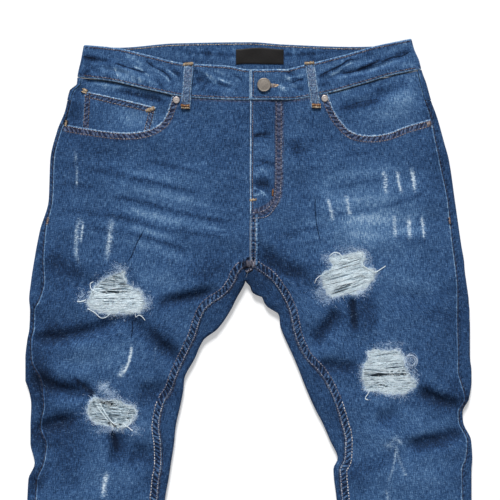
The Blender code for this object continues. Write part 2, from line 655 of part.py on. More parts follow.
def rivet(side, metal):
    """A pocket rivet: a low domed cap with a dimple."""
    x, rise = RIVETS[side]
    base = seat_height(x, rise, RIVET_RADIUS, 0) + SEAM_GAP
    r = RIVET_RADIUS
    profile = [(r, 0), (r, 0.5), (0.85 * r, 1.1), (0.5 * r, 1.5), (0.3 * r, 1.4), (0.2 * r, 1.0)]
    centre = (x * MM, (rise - MIDDLE_RISE) * MM, base * MM)
    return turned(f"rivet_{SIDE_NAMES[side]}", centre, profile, metal, segments=16)


def waist_label(satin):
    """The blank label on the inside of the back band."""
    low = SEAT_LIFT + BAND_CLOTH + SEAM_GAP
    (left, right), (bottom, top) = LABEL["x"], LABEL["rise"]
    outline = [(left, bottom), (right, bottom), (right, top), (left, top)]
    return plate("waist_label", outline, low, low + LABEL["cloth"], satin)


def build():
    for old in list(bpy.data.objects):
        bpy.data.objects.remove(old)
    denim = material("denim", (0.045, 0.10, 0.215), 0.9)
    facing = material("facing_denim", (0.06, 0.13, 0.26), 0.9)
    threads = material("white_threads", (0.62, 0.68, 0.71), 0.95)
    button_metal = material("antique_metal", (0.28, 0.24, 0.20), 0.4, 1.0)
    rivet_metal = material("pale_metal", (0.55, 0.49, 0.40), 0.35, 1.0)
    satin = material("label_satin", (0.012, 0.010, 0.009), 0.6)
    for side in LEGS:
        front_panel(side, denim)
        back_panel(side, denim)
        yoke(side, denim)
        pocket_facing(side, facing)
        back_pocket(side, denim)
        front_loop(side, denim)
        rivet(side, rivet_metal)
    waistband(denim)
    coin_pocket(facing)
    for name, x in BACK_LOOPS.items():
        back_loop(name, x, denim)
    for name, (_, outline) in RIPS.items():
        thread_web(name, outline, threads)
    waist_button(button_metal)
    waist_label(satin)


build()
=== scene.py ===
"""Looks of the ripped jeans: washed denim, its stitching and metal, and its four frayed rips.

The plan is the part's own, in millimetres: x from the centre line towards the wearer's left, and
rise above the crotch seam. Every panel is a closed, finely divided wall on the garment's surface.
"""

from collections import namedtuple

import bpy
import numpy as np
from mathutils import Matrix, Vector


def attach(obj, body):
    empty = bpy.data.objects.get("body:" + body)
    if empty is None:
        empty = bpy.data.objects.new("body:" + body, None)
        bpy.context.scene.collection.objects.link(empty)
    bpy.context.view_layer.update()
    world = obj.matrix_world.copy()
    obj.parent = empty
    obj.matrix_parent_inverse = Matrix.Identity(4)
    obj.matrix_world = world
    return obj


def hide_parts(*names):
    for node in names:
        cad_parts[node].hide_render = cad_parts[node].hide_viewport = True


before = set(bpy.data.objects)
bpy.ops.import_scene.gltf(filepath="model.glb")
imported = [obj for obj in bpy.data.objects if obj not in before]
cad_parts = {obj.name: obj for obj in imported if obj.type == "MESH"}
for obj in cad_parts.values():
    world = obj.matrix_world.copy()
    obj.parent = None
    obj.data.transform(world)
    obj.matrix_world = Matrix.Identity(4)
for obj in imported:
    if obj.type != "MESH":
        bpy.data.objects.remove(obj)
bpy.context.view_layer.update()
MM = 0.001
# Seeds of the random draws; the rips and the front's loops add their own number
SEEDS = {"ripples": 4, "torn edges": 20, "rip threads": 60, "stitches": 8, "tacks": 77, "crotch": 51,
         "lint ring": 91, "front loops": 31, "loop stitches": 15}


# Cloth and gaps, in millimetres
CLOTH = 1.2
BAND_CLOTH = 2.4
SEAM_GAP = 0.3
HALF_GAP = SEAM_GAP / 2
CURVED_SEAM_GAP = 0.7    # at the curved seams of the yokes and the waistband
EDGE_RADIUS = 4.0        # of the cloth where front turns into back
SHOULDER = 62.0          # from a folded edge to the crown of the leg
FOLD_MARGIN = 16.0       # folds fade out this near to a folded edge
CREASE_MARGIN = 6.0      # and smaller creases this near
SEAT_LIFT = 1.6          # the seat lies on its back pockets
HEM = -790.0
BAND_PROUD = 0.8
APEX = -23.0             # where the two legs part, below the crotch seam
APEX_DRIFT = -5.5        # the crotch seam leans to the wearer's right on its way down to the apex
WAIST_CORNER = 286.0
MIDDLE_RISE = (WAIST_CORNER + HEM) / 2

# The plan of each leg: a row for each section, and distances from the centre line.
# Above the crotch the inseam and the inner edge are the centre seam.
Section = namedtuple("Section", "rise outer outseam inseam inner")
RIGHT_LEG = [Section(*row) for row in [
    (286, 209, 203, 0, 0), (278, 212, 206, 0, 0), (258, 216, 210, 0, 0), (240, 220, 214.5, 0, 0),
    (228, 221, 216, 0, 0), (219, 230, 225, 0, 0), (194, 236, 231, 0, 0), (169, 246, 241, 0, 0),
    (131, 255, 250, 0, 0), (80, 257, 252, 0, 0), (42, 268, 260.5, 0, 0), (0, 276, 263, 0, 0),
    (-23, 279.5, 262, 22, 5.5), (-47, 282, 268, 40, 18), (-60, 281, 275, 50, 24.5),
    (-85, 282, 276, 65, 42), (-98, 284.5, 279, 73.5, 59), (-123, 287, 278, 84, 71),
    (-149, 287, 266, 95, 84), (-161, 283, 264, 99, 85), (-180, 279.5, 262, 110, 88.5),
    (-210, 280.5, 267, 115.5, 95), (-230, 280.5, 259, 113, 97), (-256, 275, 263, 112.5, 101),
    (-276, 283, 271, 115.5, 104), (-301, 284.5, 273, 118, 108.5), (-360, 287, 276, 125, 114),
    (-450, 294, 283, 134, 123), (-550, 303, 292, 146, 134), (-650, 312, 302, 158, 147),
    (-740, 322, 311, 168, 157), (HEM, 327, 316, 173, 162),
]]
LEFT_LEG = [Section(*row) for row in [
    (286, 206, 200, 0, 0), (273, 209.5, 204, 0, 0), (258, 216, 210.5, 0, 0), (243, 219.5, 214, 0, 0),
    (228, 225, 217.5, 0, 0), (207, 231, 223, 0, 0), (187, 238.5, 230, 0, 0), (155, 247.5, 236, 0, 0),
    (131, 254, 241, 0, 0), (80, 261.5, 251.5, 0, 0), (21, 270, 258, 0, 0), (0, 273.5, 261, 0, 0),
    (-9, 274, 262, 18, 0), (-23, 276, 263.5, 34.5, -5.5), (-30, 277, 264, 39.5, 0),
    (-36.5, 278, 264, 43.5, 2.2), (-40.5, 278.5, 264, 46, 6.5), (-44, 279, 264, 48, 15.5),
    (-50, 279.5, 264, 51, 17.8), (-56, 280, 264, 53.5, 22), (-61, 280.5, 264, 55.5, 30),
    (-65, 280.5, 264, 56.5, 36), (-71, 280.5, 264, 58, 37.8), (-79, 281, 264, 60, 38.2),
    (-85, 281, 264, 61.5, 40), (-120, 281, 265, 74, 55.5), (-138, 283, 265, 88, 63),
    (-150, 283, 268, 95, 67.5), (-174, 279.5, 274, 106.5, 77.5), (-190, 271.5, 266, 112, 85),
    (-202, 272, 266.5, 115.5, 91.5), (-227, 282.5, 277, 121, 102.5), (-250, 284, 275, 120, 112),
    (-263, 283, 270, 114, 106.5), (-301, 283, 270.5, 117, 110.5), (-360, 288, 276, 123, 115),
    (-450, 295, 283, 134, 124), (-550, 304, 293, 145, 135), (-650, 313, 302, 157, 147),
    (-740, 322, 311, 168, 157), (HEM, 327, 316, 173, 162),
]]
LEGS = {-1: RIGHT_LEG, 1: LEFT_LEG}
SIDE_NAMES = {-1: "right", 1: "left"}

# Height of the top surface over the middle of a leg: (rise, height)
CROWN = [(286, 13.5), (240, 14), (100, 16), (0, 17), (-100, 18), (-300, 17), (-500, 14), (HEM, 10.5)]

# Largest folds of the front: a positive depth is a valley, a negative one a ridge.
Fold = namedtuple("Fold", "x rise x_end rise_end bend width depth")
FOLDS = [Fold(*row) for row in [
    (-300, -96, -148, -65, -11, 8, 6.5), (-152, -63, -84, -124, -9, 8, 6.0),
    (-292, -140, -196, -168, -9, 8, 6.0), (-146, -165, -82, -163, 3, 9, 4.5),
    (-290, -222, -219, -200, 3, 9, 5.5), (-171, -214, -171, -262, 0, 8, 4.5),
    (-158, -252, -100, -246, 4, 12, 4.0), (-300, -292, -262, -284, 0, 9, 5.0),
    (-120, -54, -32, -35, 3, 7, 6.0), (-235, -105, -180, -110, 3, 16, -2.0),
    (10, 16, 80, -19, -4, 9, 4.5), (114, -60, 72, -106, 4, 11, 5.0), (80, -128, 144, -131, -2, 8, 4.5),
    (208, -160, 280, -183, -5, 8, 6.0), (192, -239, 286, -218, 4, 10, 6.0),
    (158, -197, 196, -188, -2, 12, 3.0), (129, -42, 133, -88, 0, 4, 4.0),
    (-290, -345, -205, -330, 6, 13, 4.5), (-110, -372, -190, -392, -6, 13, 4.5),
    (-292, -440, -215, -425, -5, 12, 4.0), (-125, -520, -210, -505, 5, 13, 3.5),
    (-310, -640, -240, -655, 4, 12, 3.0), (290, -335, 205, -350, 6, 13, 4.5),
    (110, -395, 190, -410, -6, 13, 4.5), (298, -470, 225, -455, 5, 12, 4.0),
    (130, -560, 215, -548, -5, 13, 3.5), (160, -690, 235, -705, 4, 12, 3.0),
]]

# Waistband edges: (x, rise) along the front and along the back, which meet at the side corners
FRONT_TOP = [(-212, 278), (-166, 273), (-128, 264), (-83, 254), (-30, 251), (0, 246), (39, 246),
             (69, 252), (117, 264), (160, 276), (206, 286)]
FRONT_BOTTOM = [(-220, 237), (-176, 231), (-128, 220), (-75, 210), (0, 207), (45, 207),
                (100, 216), (141, 227), (182, 239), (219, 247)]
BACK_TOP = [(-212, 278), (-168, 275), (-95, 280.5), (0, 282), (44, 279), (133, 276), (170, 277),
            (206, 286)]
BACK_BOTTOM = [(-220, 237), (-168, 234), (-95, 238), (0, 240), (44, 238), (133, 235), (170, 237),
               (219, 247)]
YOKE_CENTRE, YOKE_SIDE, YOKE_REACH = 164.0, 207.0, 215.0
OVERLAP_END = 0.6        # the wearer's left end of the band covers the right one
UNDERLAP_END = 30.0
LAP_FLAT = 34.0
LAP_EASE = 60.0
FLY_END = 62.0           # the fly is open above this rise
FLY_UNDERLAP = 6.0

# Front pocket openings: (distance from the centre line, rise)
POCKET_EDGES = {
    -1: [(99, 214), (104, 196), (112, 180), (128, 170), (154, 166), (184, 168), (216, 173), (238, 177)],
    1: [(99, 216), (106, 196), (117, 179), (130, 167), (150, 162.5), (174, 165), (198, 174), (232, 184)],
}
POCKET_CUT_OUT = 275.0
POCKET_CUT_TOP = 275.0
FACING_INNER = 84.0
FACING_BOTTOM = 146.0
FACING_DROP = {-1: 2 * (CLOTH + SEAM_GAP), 1: CLOTH + SEAM_GAP}
COIN_POCKET = {"top": ((-211, 220), (-119, 198)), "bottom": ((-215, 162), (-129, 157))}
BACK_POCKET = [(25, 142), (168, 157), (163, 52), (98, 17), (34, 45)]

# Rips in the fronts: (x, rise) round each hole
RIPS = {
    "thigh_right": (-1, [(-205, -49.5), (-202.5, -42), (-199, -34), (-196, -30), (-191, -25),
                         (-184, -20), (-174, -15.5), (-166, -13), (-161, -9), (-160.3, -15),
                         (-158.3, -21.5), (-155.8, -27), (-149, -31), (-142, -34.5), (-138, -39.5),
                         (-134.5, -46), (-133.5, -52.5), (-138, -60), (-144.5, -62.5), (-155, -63.3),
                         (-171.5, -63.8), (-188, -63), (-197, -60), (-203.5, -55.5)]),
    "knee_right": (-1, [(-205, -189), (-203.5, -181.5), (-201.5, -175.5), (-197, -171.5), (-193.5, -172),
                        (-189, -174.5), (-184, -175), (-178, -174), (-171.5, -172.5), (-165, -174),
                        (-159, -179), (-151, -181), (-147, -183.5), (-145, -189), (-145.5, -195),
                        (-150, -199.5), (-154, -204.5), (-159, -209), (-166.5, -210), (-173, -209),
                        (-179, -207), (-185, -205), (-191, -204), (-197, -200.5), (-203, -196)]),
    "thigh_left": (1, [(102.5, 7), (108, 10), (112.5, 8), (124, 11), (139.5, 14.5), (144.5, 11.5),
                       (144.8, 5.5), (141.6, 0), (144.5, -5.5), (152.5, -7.5), (159, -12),
                       (156.5, -19), (152.5, -26.5), (146, -33), (138, -38.5), (130, -39.5),
                       (124, -37.5), (116, -40.5), (106.5, -43), (98.5, -39), (93, -31),
                       (91.3, -21.5), (92, -15), (97, -11.5), (105, -7), (104.5, -1), (101.8, 3)]),
    "knee_left": (1, [(150, -112), (157.5, -110.5), (168, -111.5), (179.5, -110.5), (188, -111.5),
                      (191, -116), (194.5, -122.5), (196, -129.5), (199, -137.5), (205, -144.5),
                      (210, -149.5), (209.5, -156), (202.5, -160.5), (197.5, -164.5), (188.5, -165.5),
                      (179.5, -166.5), (171.5, -165.5), (166.5, -162.5), (160, -162), (152, -162.5),
                      (146, -158), (144, -149), (143.2, -141), (145, -134), (146.2, -128),
                      (149.5, -122.5), (151, -117)]),
}

# Belt loops: the place of each top and bottom end, and the width
LOOP_WIDTH = 12.0
LOOP_CLOTH = 1.3
LOOP_ARCH = 2.0
FRONT_LOOPS = {-1: ((-77.5, 254), (-82, 196)), 1: ((75.5, 255), (84, 197))}
BACK_LOOPS = {"back_right": -140.0, "back_centre": 0.0, "back_left": 140.0}
BACK_LOOP_LENGTH = 57.0

# Metal and label
BUTTON = {"x": 17.8, "rise": 226.0, "radius": 8.75}
RIVETS = {-1: (-93.5, 207.0), 1: (95.0, 209.0)}
RIVET_RADIUS = 4.3
LABEL = {"x": (-18, 43), "rise": (254, 274), "cloth": 1.0}


# Smaller creases of the front: a positive depth is a valley, a negative one a ridge
CREASES = [Fold(*row) for row in [
    (-276, -136, -205, -160, -9, 6, 3.2), (-212, -150, -194, -169, -1, 3.5, 2.6),
    (-270, -118, -190, -142, -9, 10, -2.6), (-286, -60, -262, -86, 3, 9, 2.5),
    (-262, 10, -196, -34, -4, 15, 2.6), (-205, -22, -192, -30, 0, 5, 1.6),
    (-276, -214, -206, -196, 4, 8, 2.6), (-192, -171, -174, -208, 2, 5, 3.2),
    (-284, -240, -230, -236, 3, 9, 1.6), (-176, -206, -173, -268, 1, 4, 2.2),
    (-163, -208, -160, -250, -2, 5, 1.6), (-158, -222, -128, -244, -3, 8, 1.6),
    (-150, -186, -110, -172, 3, 9, 1.8), (-128, -78, -92, -112, -5, 5, 2.2),
    (-110, -44, -62, -36, 2, 10, -1.6), (-100, -52, -46, -40, 2, 4, 2.2),
    (-150, -68, -151, -98, 0, 2.2, 1.4), (-132, 47, -157, -2, 0, 2.0, 1.2),
    (-40, 30, -8, 6, -2, 8, 1.3), (6, 26, 38, 12, -2, 6, 1.4), (18, 4, 64, -20, -5, 5, 2.4),
    (52, -18, 92, -34, -4, 9, 1.8), (84, 88, 90, 24, 2, 2.0, 1.1), (131, -42, 135, -86, 1, 2.6, 2.4),
    (150, -50, 165, -84, 3, 12, 1.6), (172, -34, 240, -48, -4, 12, 1.7), (112, -52, 86, -92, 3, 5, 2.0),
    (142, -60, 146, -100, 0, 9, -1.2), (176, -176, 236, -186, -3, 10, 1.6),
    (214, -156, 262, -176, -4, 5, 2.0), (196, -232, 250, -226, 3, 6, 2.0),
    (156, -196, 190, -192, -3, 8, 1.4), (140, -214, 190, -228, 3, 9, -1.2),
    (262, -204, 280, -192, 1, 5, 1.4), (120, -96, 90, -122, 2, 8, -1.4), (4, 160, 18, 161, 1, 3, 0.9),
    (3, 126, 26, 132, 2, 3.5, 1.1), (4, 99, 24, 96, 2, 3.0, 1.2), (3, 92, 20, 88, -2, 3.0, -0.7),
    (38, 148, 70, 140, 3, 7, 1.0), (-214, 262, -178, 256, -2, 3.0, 1.5),
    (-196, 252, -140, 240, -3, 3.2, 1.3), (-166, 250, -118, 228, -4, 3.0, -1.0),
    (-70, 236, -20, 222, -3, 3.5, 0.9), (-66, 222, -58, 213, 0, 3.0, 0.8),
    (40, 232, 72, 234, -3, 3.0, 1.1), (206, 266, 104, 241, 5, 3.4, 2.0),
    (168, 250, 112, 238, 3, 3.0, 1.3), (206, 257, 126, 246, -3, 4.0, -1.3),
    (146, 263, 104, 248, -2, 3.0, -1.0), (122, 246, 86, 232, 3, 2.6, 1.5),
    (92, 240, 86, 226, 2, 3.0, -1.0), (-184, 267, -144, 245, -2, 3.5, 1.2),
    (-176, 254, -130, 230, 2, 4.0, -1.0), (-208, 256, -196, 238, 2, 7.0, 1.5),
    (-66, 244, -50, 222, 0, 4.0, 1.4), (-54, 242, -24, 226, -2, 2.2, -1.0),
    (-70, 250, -48, 239, -1, 2.0, -0.9), (40, 243, 60, 238, 2, 2.5, 1.4),
    (44, 232, 70, 225, 3, 2.5, -1.0), (34, 225, 50, 215, 1, 2.0, -0.8), (50, 222, 72, 218, 2, 2.5, 1.3),
    (108, 200, 190, 224, -5, 5.0, 1.8), (150, 196, 212, 214, -4, 14, -1.6),
    (-172, 221, -104, 203, 3, 4.0, 2.2), (-210, 230, -106, 209, 2, 4.0, -1.0),
    (-280, -380, -225, -372, 4, 7, 1.8), (-130, -430, -170, -436, -4, 8, 1.8),
    (-300, -500, -250, -492, 4, 8, 1.5), (-150, -600, -205, -590, 4, 9, 1.5),
    (-318, -720, -270, -728, 3, 8, 1.2), (280, -385, 222, -374, -4, 7, 1.8),
    (128, -445, 172, -452, 4, 8, 1.8), (300, -530, 248, -520, -4, 8, 1.5),
    (150, -630, 196, -640, 4, 9, 1.5), (316, -740, 272, -732, -3, 8, 1.2),
]]

# Wrinkles of the hidden back, as far as the cloth lifts off the floor
BACK_CREASES = [Fold(*row) for row in [
    (-262, -92, -160, -104, 8, 6, 1.8), (-120, -128, -196, -142, -6, 7, 2.2),
    (-270, -166, -186, -160, -7, 6, 2.0), (-110, -190, -180, -182, 6, 7, 1.6),
    (-264, -226, -196, -238, 6, 7, 1.8), (-120, -286, -176, -276, -5, 8, 1.4),
    (-60, 18, -132, -12, -7, 6, 1.8), (-36, -8, -104, -46, -6, 6, 1.6),
    (-280, -420, -226, -412, 4, 8, 1.3), (-150, -520, -214, -528, 5, 9, 1.2),
    (258, -84, 158, -98, -8, 6, 1.9), (116, -122, 190, -134, 6, 7, 2.1),
    (268, -150, 184, -158, 7, 6, 1.8), (112, -196, 186, -188, -6, 7, 1.7),
    (262, -232, 200, -222, -5, 7, 1.7), (126, -276, 182, -288, 5, 8, 1.3),
    (58, 14, 126, -18, 7, 6, 1.7), (40, -20, 98, -50, 6, 6, 1.5), (284, -450, 228, -440, -4, 8, 1.3),
    (152, -560, 210, -550, -5, 9, 1.2),
]]

# Washed fades, and patches of painted shade and painted light at folds, edges, the crotch, the band, the
# facings and the fly: a place, its reach both ways, and how much lighter (or darker) it is
Fade = namedtuple("Fade", "x rise reach_x reach_rise tone")
FADES_AND_PAINTED_SHADE = [Fade(*row) for row in [
    (-190, 160, 60, 70, -0.08), (174, 52, 40, 26, 0.12), (-222, -245, 30, 30, -0.14),
    (-266, -142, 16, 44, -0.22), (-192, -108, 60, 20, -0.08), (-190, -95, 70, 10, -0.08),
    (-128, 44, 62, 58, 0.16), (-92, 82, 46, 34, 0.12), (-150, 108, 60, 30, 0.08),
    (-150, -110, 70, 30, 0.06), (-178, -262, 52, 50, 0.16), (166, 56, 66, 46, 0.42),
    (-226, -246, 24, 40, -0.30), (-190, -94, 60, 12, -0.22), (-268, -140, 18, 40, -0.50),
    # The next five lines are mostly painted shade and painted light: at the outer edges, in the band's
    # wrinkles, on the pocket facings under the band and round the fly
    (262, -72, 22, 34, -0.18), (114, -66, 20, 30, -0.12), (-208, 250, 14, 12, -0.30),
    (-166, 240, 26, 12, 0.22), (-60, 230, 9, 9, -0.35), (12, 222, 20, 10, -0.12),
    (-152, 183, 22, 14, 0.50), (-222, 196, 10, 26, -0.30), (194, 210, 24, 16, 0.42),
    (176, 187, 22, 9, 0.25), (118, 184, 14, 14, -0.22), (228, 212, 8, 26, -0.30),
    (20, 190, 20, 22, -0.28), (20, 98, 14, 7, -0.45), (18, 118, 12, 10, 0.15), (20, 245, 60, 14, 0.10),
    (250, 110, 20, 50, -0.10), (108, 30, 52, 40, 0.18), (120, 96, 60, 34, 0.16),
    (-150, -292, 60, 20, -0.05), (172, -258, 56, 46, 0.22), (200, -40, 40, 36, 0.10),
    (-205, -430, 46, 120, 0.22), (205, -430, 46, 120, 0.22), (-218, 150, 34, 60, -0.14),
    (-244, -8, 26, 44, -0.20), (-200, -30, 40, 20, -0.15), (-58, -8, 34, 30, -0.20),
    (-35, 150, 40, 60, -0.08), (54, -10, 40, 30, -0.20), (60, 150, 22, 30, 0.10),
    (66, 146, 12, 12, -0.30), (66, 112, 16, 34, -0.14), (-228, -110, 60, 24, 0.04),
    (236, 160, 24, 60, -0.12), (250, -60, 30, 120, -0.10), (212, -180, 40, 16, -0.10),
    # Painted shade where the legs meet at the crotch
    (0, -30, 24, 40, -0.30),
]]

# Whiskers, washed streaks across the thighs, and after them painted shade and painted highlights along
# creases and wrinkles, with the tone in the place of a depth
WHISKERS_AND_PAINTED_CREASES = [Fold(*row) for row in [
    (-138, 131, -58, 114, 1, 3.2, -0.42), (-214, 122, -126, 100, 2, 3.2, -0.42),
    (-150, 109, -62, 87, 0, 3.0, -0.48), (-180, 86, -100, 66, 2, 3.0, -0.55),
    (-122, 73, -18, 51, -2, 3.0, -0.45), (-242, 68, -150, 55, 1, 3.0, -0.32),
    (-180, 62, -100, 38, 1, 3.2, -0.52), (-120, 45, -26, 32, -1, 2.8, -0.34),
    (-214, 45, -130, 33, 1, 3.0, -0.30), (-150, 38, -74, 15, 0, 3.0, -0.48),
    (-206, 142, -150, 136, 1, 3.0, -0.18), (-246, 100, -190, 96, 1, 4.0, -0.2),
    (-98, 121, -50, 128, 0, 1.8, 0.35), (-168, 117, -76, 100, 1, 4.0, 0.30),
    (-160, 98, -50, 74, 0, 5.0, 0.34), (-164, 69, -80, 48, 1, 4.5, 0.46),
    (-100, 56, -20, 42, -1, 3.5, 0.28), (-156, 47, -96, 30, 1, 4.0, 0.42),
    (-156, 29, -72, 2, 0, 5.0, 0.28), (-84, 78, -20, 66, 0, 1.6, 0.26),
    (-70, 47, -22, 40, 0, 1.4, 0.32), (-54, 38, -20, 35, 0, 1.2, 0.38),
    (-60, 62, -16, 56, 0, 1.4, 0.22), (-238, 84, -180, 78, 1, 5.0, 0.14),
    (94, 92, 176, 106, 2, 3.0, -0.26), (100, 63, 172, 72, -3, 3.2, -0.34),
    (160, 68, 226, 92, -2, 3.0, -0.36), (28, 31, 108, 48, 2, 3.0, -0.30),
    (60, 20, 110, 34, 1, 3.2, -0.24), (186, 30, 230, 28, 0, 5.0, -0.34),
    (112, 136, 168, 142, 1, 3.0, -0.16), (150, 44, 226, 50, -2, 3.0, -0.22),
    (64, 80, 96, 86, 0, 4.0, -0.2), (92, 104, 196, 124, 2, 5.5, 0.26), (98, 78, 186, 88, -2, 4.0, 0.26),
    (112, 54, 180, 58, 0, 6.0, 0.34), (40, 42, 104, 56, 2, 4.0, 0.20), (36, 22, 94, 34, 1, 3.0, 0.20),
    (176, 40, 232, 44, 0, 4.5, 0.20), (120, 36, 170, 34, 0, 5.0, 0.26),
    # From here on mostly painted shade and painted highlights: along the knee fold, the fly's creases,
    # the pocket facings under the band and the waistband's wrinkles
    (-226, -142, -191, -172, -1, 2.2, -0.85), (-175, -210, -169, -240, 0, 3.5, -0.7),
    (1, 96, 24, 82, 2, 2.4, 0.45), (2, 85, 16, 88, 1, 2.2, 0.35), (3, 114, 14, 106, 1, 1.3, 0.7),
    (3, 148, 24, 147, 3, 1.4, 0.5), (8, 128, 34, 122, 3, 3.5, -0.5), (2, 162, 30, 164, 1, 1.8, -0.7),
    (18, 102, 34, 104, -1, 2.0, 0.4), (36, 196, 36.5, 96, 0, 3.4, -0.30),
    (56, 160, 58, 134, 0, 7, -0.35), (4, 204, 5, 172, 0, 1.5, 0.3), (10, 204, 10, 168, 0, 1.5, 0.25),
    (-216, 232, -104, 209, 1, 2.6, 0.45), (-174, 221, -102, 203, 2, 3.2, -0.85),
    (104, 216, 132, 221, 1, 2.0, 0.55), (108, 197, 174, 212, -4, 3.4, -0.65),
    (150, 216, 206, 233, -3, 5, -0.35), (196, 234, 222, 240, 0, 3.0, 0.25),
    (6, 104, 28, 100, 1, 5, -0.5), (4, 90, 14, 92, 1, 2.2, -0.5), (2, 118, 26, 114, 2, 3, 0.3),
    (2, 140, 28, 146, -2, 4, 0.22), (3, 160, 24, 163, 1, 2.2, -0.4),
    (-214, 263, -194, 260, 0, 3.2, -0.85), (-198, 261, -173, 254, 1, 2.2, -0.55),
    (-174, 254.6, -155, 248, 0, 1.8, -0.70), (-156, 248.4, -128, 241, 0, 1.7, -0.95),
    (-134, 258, -121, 248, 1, 2.4, -0.65), (-124, 250, -104, 238, 1, 2.0, -0.75),
    (-106, 240, -100, 229, 2, 2.0, -0.55), (-100, 245, -87, 238, 0, 3.4, -0.85),
    (-186, 240, -176, 232, 0, 3.4, -0.35), (-212, 246, -204, 230, 0, 4.0, -0.45),
    (-120, 232, -108, 222, 0, 3.0, -0.40), (-159, 264, -144, 258, 1, 3.4, 0.50),
    (-145, 258, -137, 248, 1, 2.6, 0.45), (-150, 250.6, -132, 241.6, 1, 1.5, 0.85),
    (-134, 242, -127, 236, 0, 1.5, 0.60), (-126, 248, -107, 238, 2, 1.5, 0.80),
    (-108, 238, -101, 228, 1, 1.5, 0.75), (-107, 247, -92, 235, 0, 1.6, 0.65),
    (-173, 251, -166, 234, 1, 1.6, 0.60), (-165, 243, -160, 230, 0, 1.8, 0.55),
    (-158, 246, -154, 228, 0, 1.6, 0.50), (-151, 239, -147, 227, 0, 1.6, 0.60),
    (-142, 238, -138, 226, 0, 1.6, 0.45), (-190, 252, -183, 241, -1, 1.6, 0.50),
    (-204, 256, -196, 250, 1, 1.8, 0.40), (-132, 232, -114, 226, 0, 2.0, 0.35),
    (-74, 247, -66, 240, 0, 3.0, -0.65), (-70, 236, -62, 230, 1, 3.0, -0.45),
    (-72, 224, -60, 220, 0, 1.8, 0.45), (-58, 244, -48, 232, 0, 1.5, 0.50),
    (-52, 240, -40, 224, 1, 1.6, 0.60), (-46, 246, -30, 239, 0, 1.6, 0.45),
    (-42, 236, -20, 228, -1, 1.6, 0.55), (-44, 230, -24, 222, 1, 2.2, -0.55),
    (-36, 226, -20, 217, 0, 1.6, 0.45), (-56, 218, -36, 214, 0, 3.0, -0.35),
    (-24, 240, -8, 232, 1, 2.0, -0.45), (32, 245, 50, 243, 2, 1.8, 0.40),
    (40, 243, 58, 237, 1, 1.7, -0.85), (42, 239, 54, 232, 0, 1.5, 0.65),
    (50, 234, 70, 229, 2, 1.6, -0.70), (34, 226, 46, 217, 1, 1.6, 0.70),
    (44, 229, 62, 221, 1, 1.6, 0.65), (52, 222, 72, 218, 1, 1.8, -0.70),
    (60, 238, 76, 240, 0, 1.6, 0.45), (86, 236.5, 101, 243.5, -1, 2.4, -1.0),
    (99, 243.8, 118, 251.5, 0, 1.7, -0.75), (117, 252, 125, 257.6, 0, 1.5, -0.50),
    (124, 258, 140, 259, 1, 1.5, -0.45), (116, 240.7, 136, 245, 0, 2.0, -0.70),
    (134, 244.5, 156, 253.4, 0, 2.3, -1.05), (150, 252, 168, 259, 0, 2.0, -0.95),
    (165, 255.5, 182, 262, 0, 2.6, -0.65), (179, 261.5, 208, 271, 1, 3.2, -0.60),
    (86, 226, 108, 226, 1, 3.0, -0.45), (92, 232, 104, 228, 0, 2.0, -0.30),
    (101, 238.5, 114, 246, 0, 1.4, 0.85), (113, 245.5, 119, 251.5, 0, 1.4, 0.80),
    (118, 251, 136, 256, 0, 1.5, 0.60), (110, 234, 127, 238.6, 0, 2.2, 0.40),
    (126, 238.5, 148, 243, 0, 2.4, 0.50), (147, 243, 166, 248.5, 0, 2.6, 0.55),
    (164, 248.5, 190, 257, 1, 2.6, 0.50), (100, 233, 106, 224, 0, 1.6, 0.40),
    (170, 266, 190, 274, 0, 2.6, 0.35), (186, 277, 204, 282, 0, 3.0, 0.40),
    (190, 250, 212, 254, 0, 3.0, 0.35), (140, 262, 160, 268, 0, 2.4, -0.35),
    (120, 233, 150, 239, 0, 1.6, -0.30), (160, 242, 200, 250, 0, 1.6, -0.30),
]]

# Light and dark streaks on the inside of the band at the back, with the tone in the place of a depth
BAND_STREAKS = [Fold(*row) for row in [
    (-21.6, 281, -21, 252, 0, 1.7, 0.55), (56, 278, 56, 252, 0, 1.6, 0.50),
    (-86.4, 270, -76, 256, 0, 1.5, 0.50), (-77.7, 271, -70, 256, 1, 1.5, 0.55),
    (-68.6, 276, -58.7, 260, 0, 1.5, 0.55), (-48, 274, -45, 258, 1, 2.0, 0.35),
    (-34, 276, -31, 262, 0, 2.0, 0.30), (-92, 272, -93, 261, 0, 1.8, 0.35),
    (-112, 268, -108, 262, 0, 1.8, 0.25), (70, 274, 72, 256, 0, 1.8, 0.30),
    (86.4, 273, 87.4, 262, 0, 1.6, 0.40), (96, 271, 96, 264, 0, 1.6, 0.30),
    (-56, 272, -52, 262, 0, 3.0, -0.35), (-82, 264, -64, 256, 0, 3.0, -0.35),
    (62, 268, 84, 264, 0, 4.0, -0.35), (76, 258, 100, 262, 0, 3.0, -0.30),
    (8, 283.5, 24, 283.5, 0, 2.6, -0.9), (-110, 274, 150, 276, -10, 2.4, -0.5),
]]
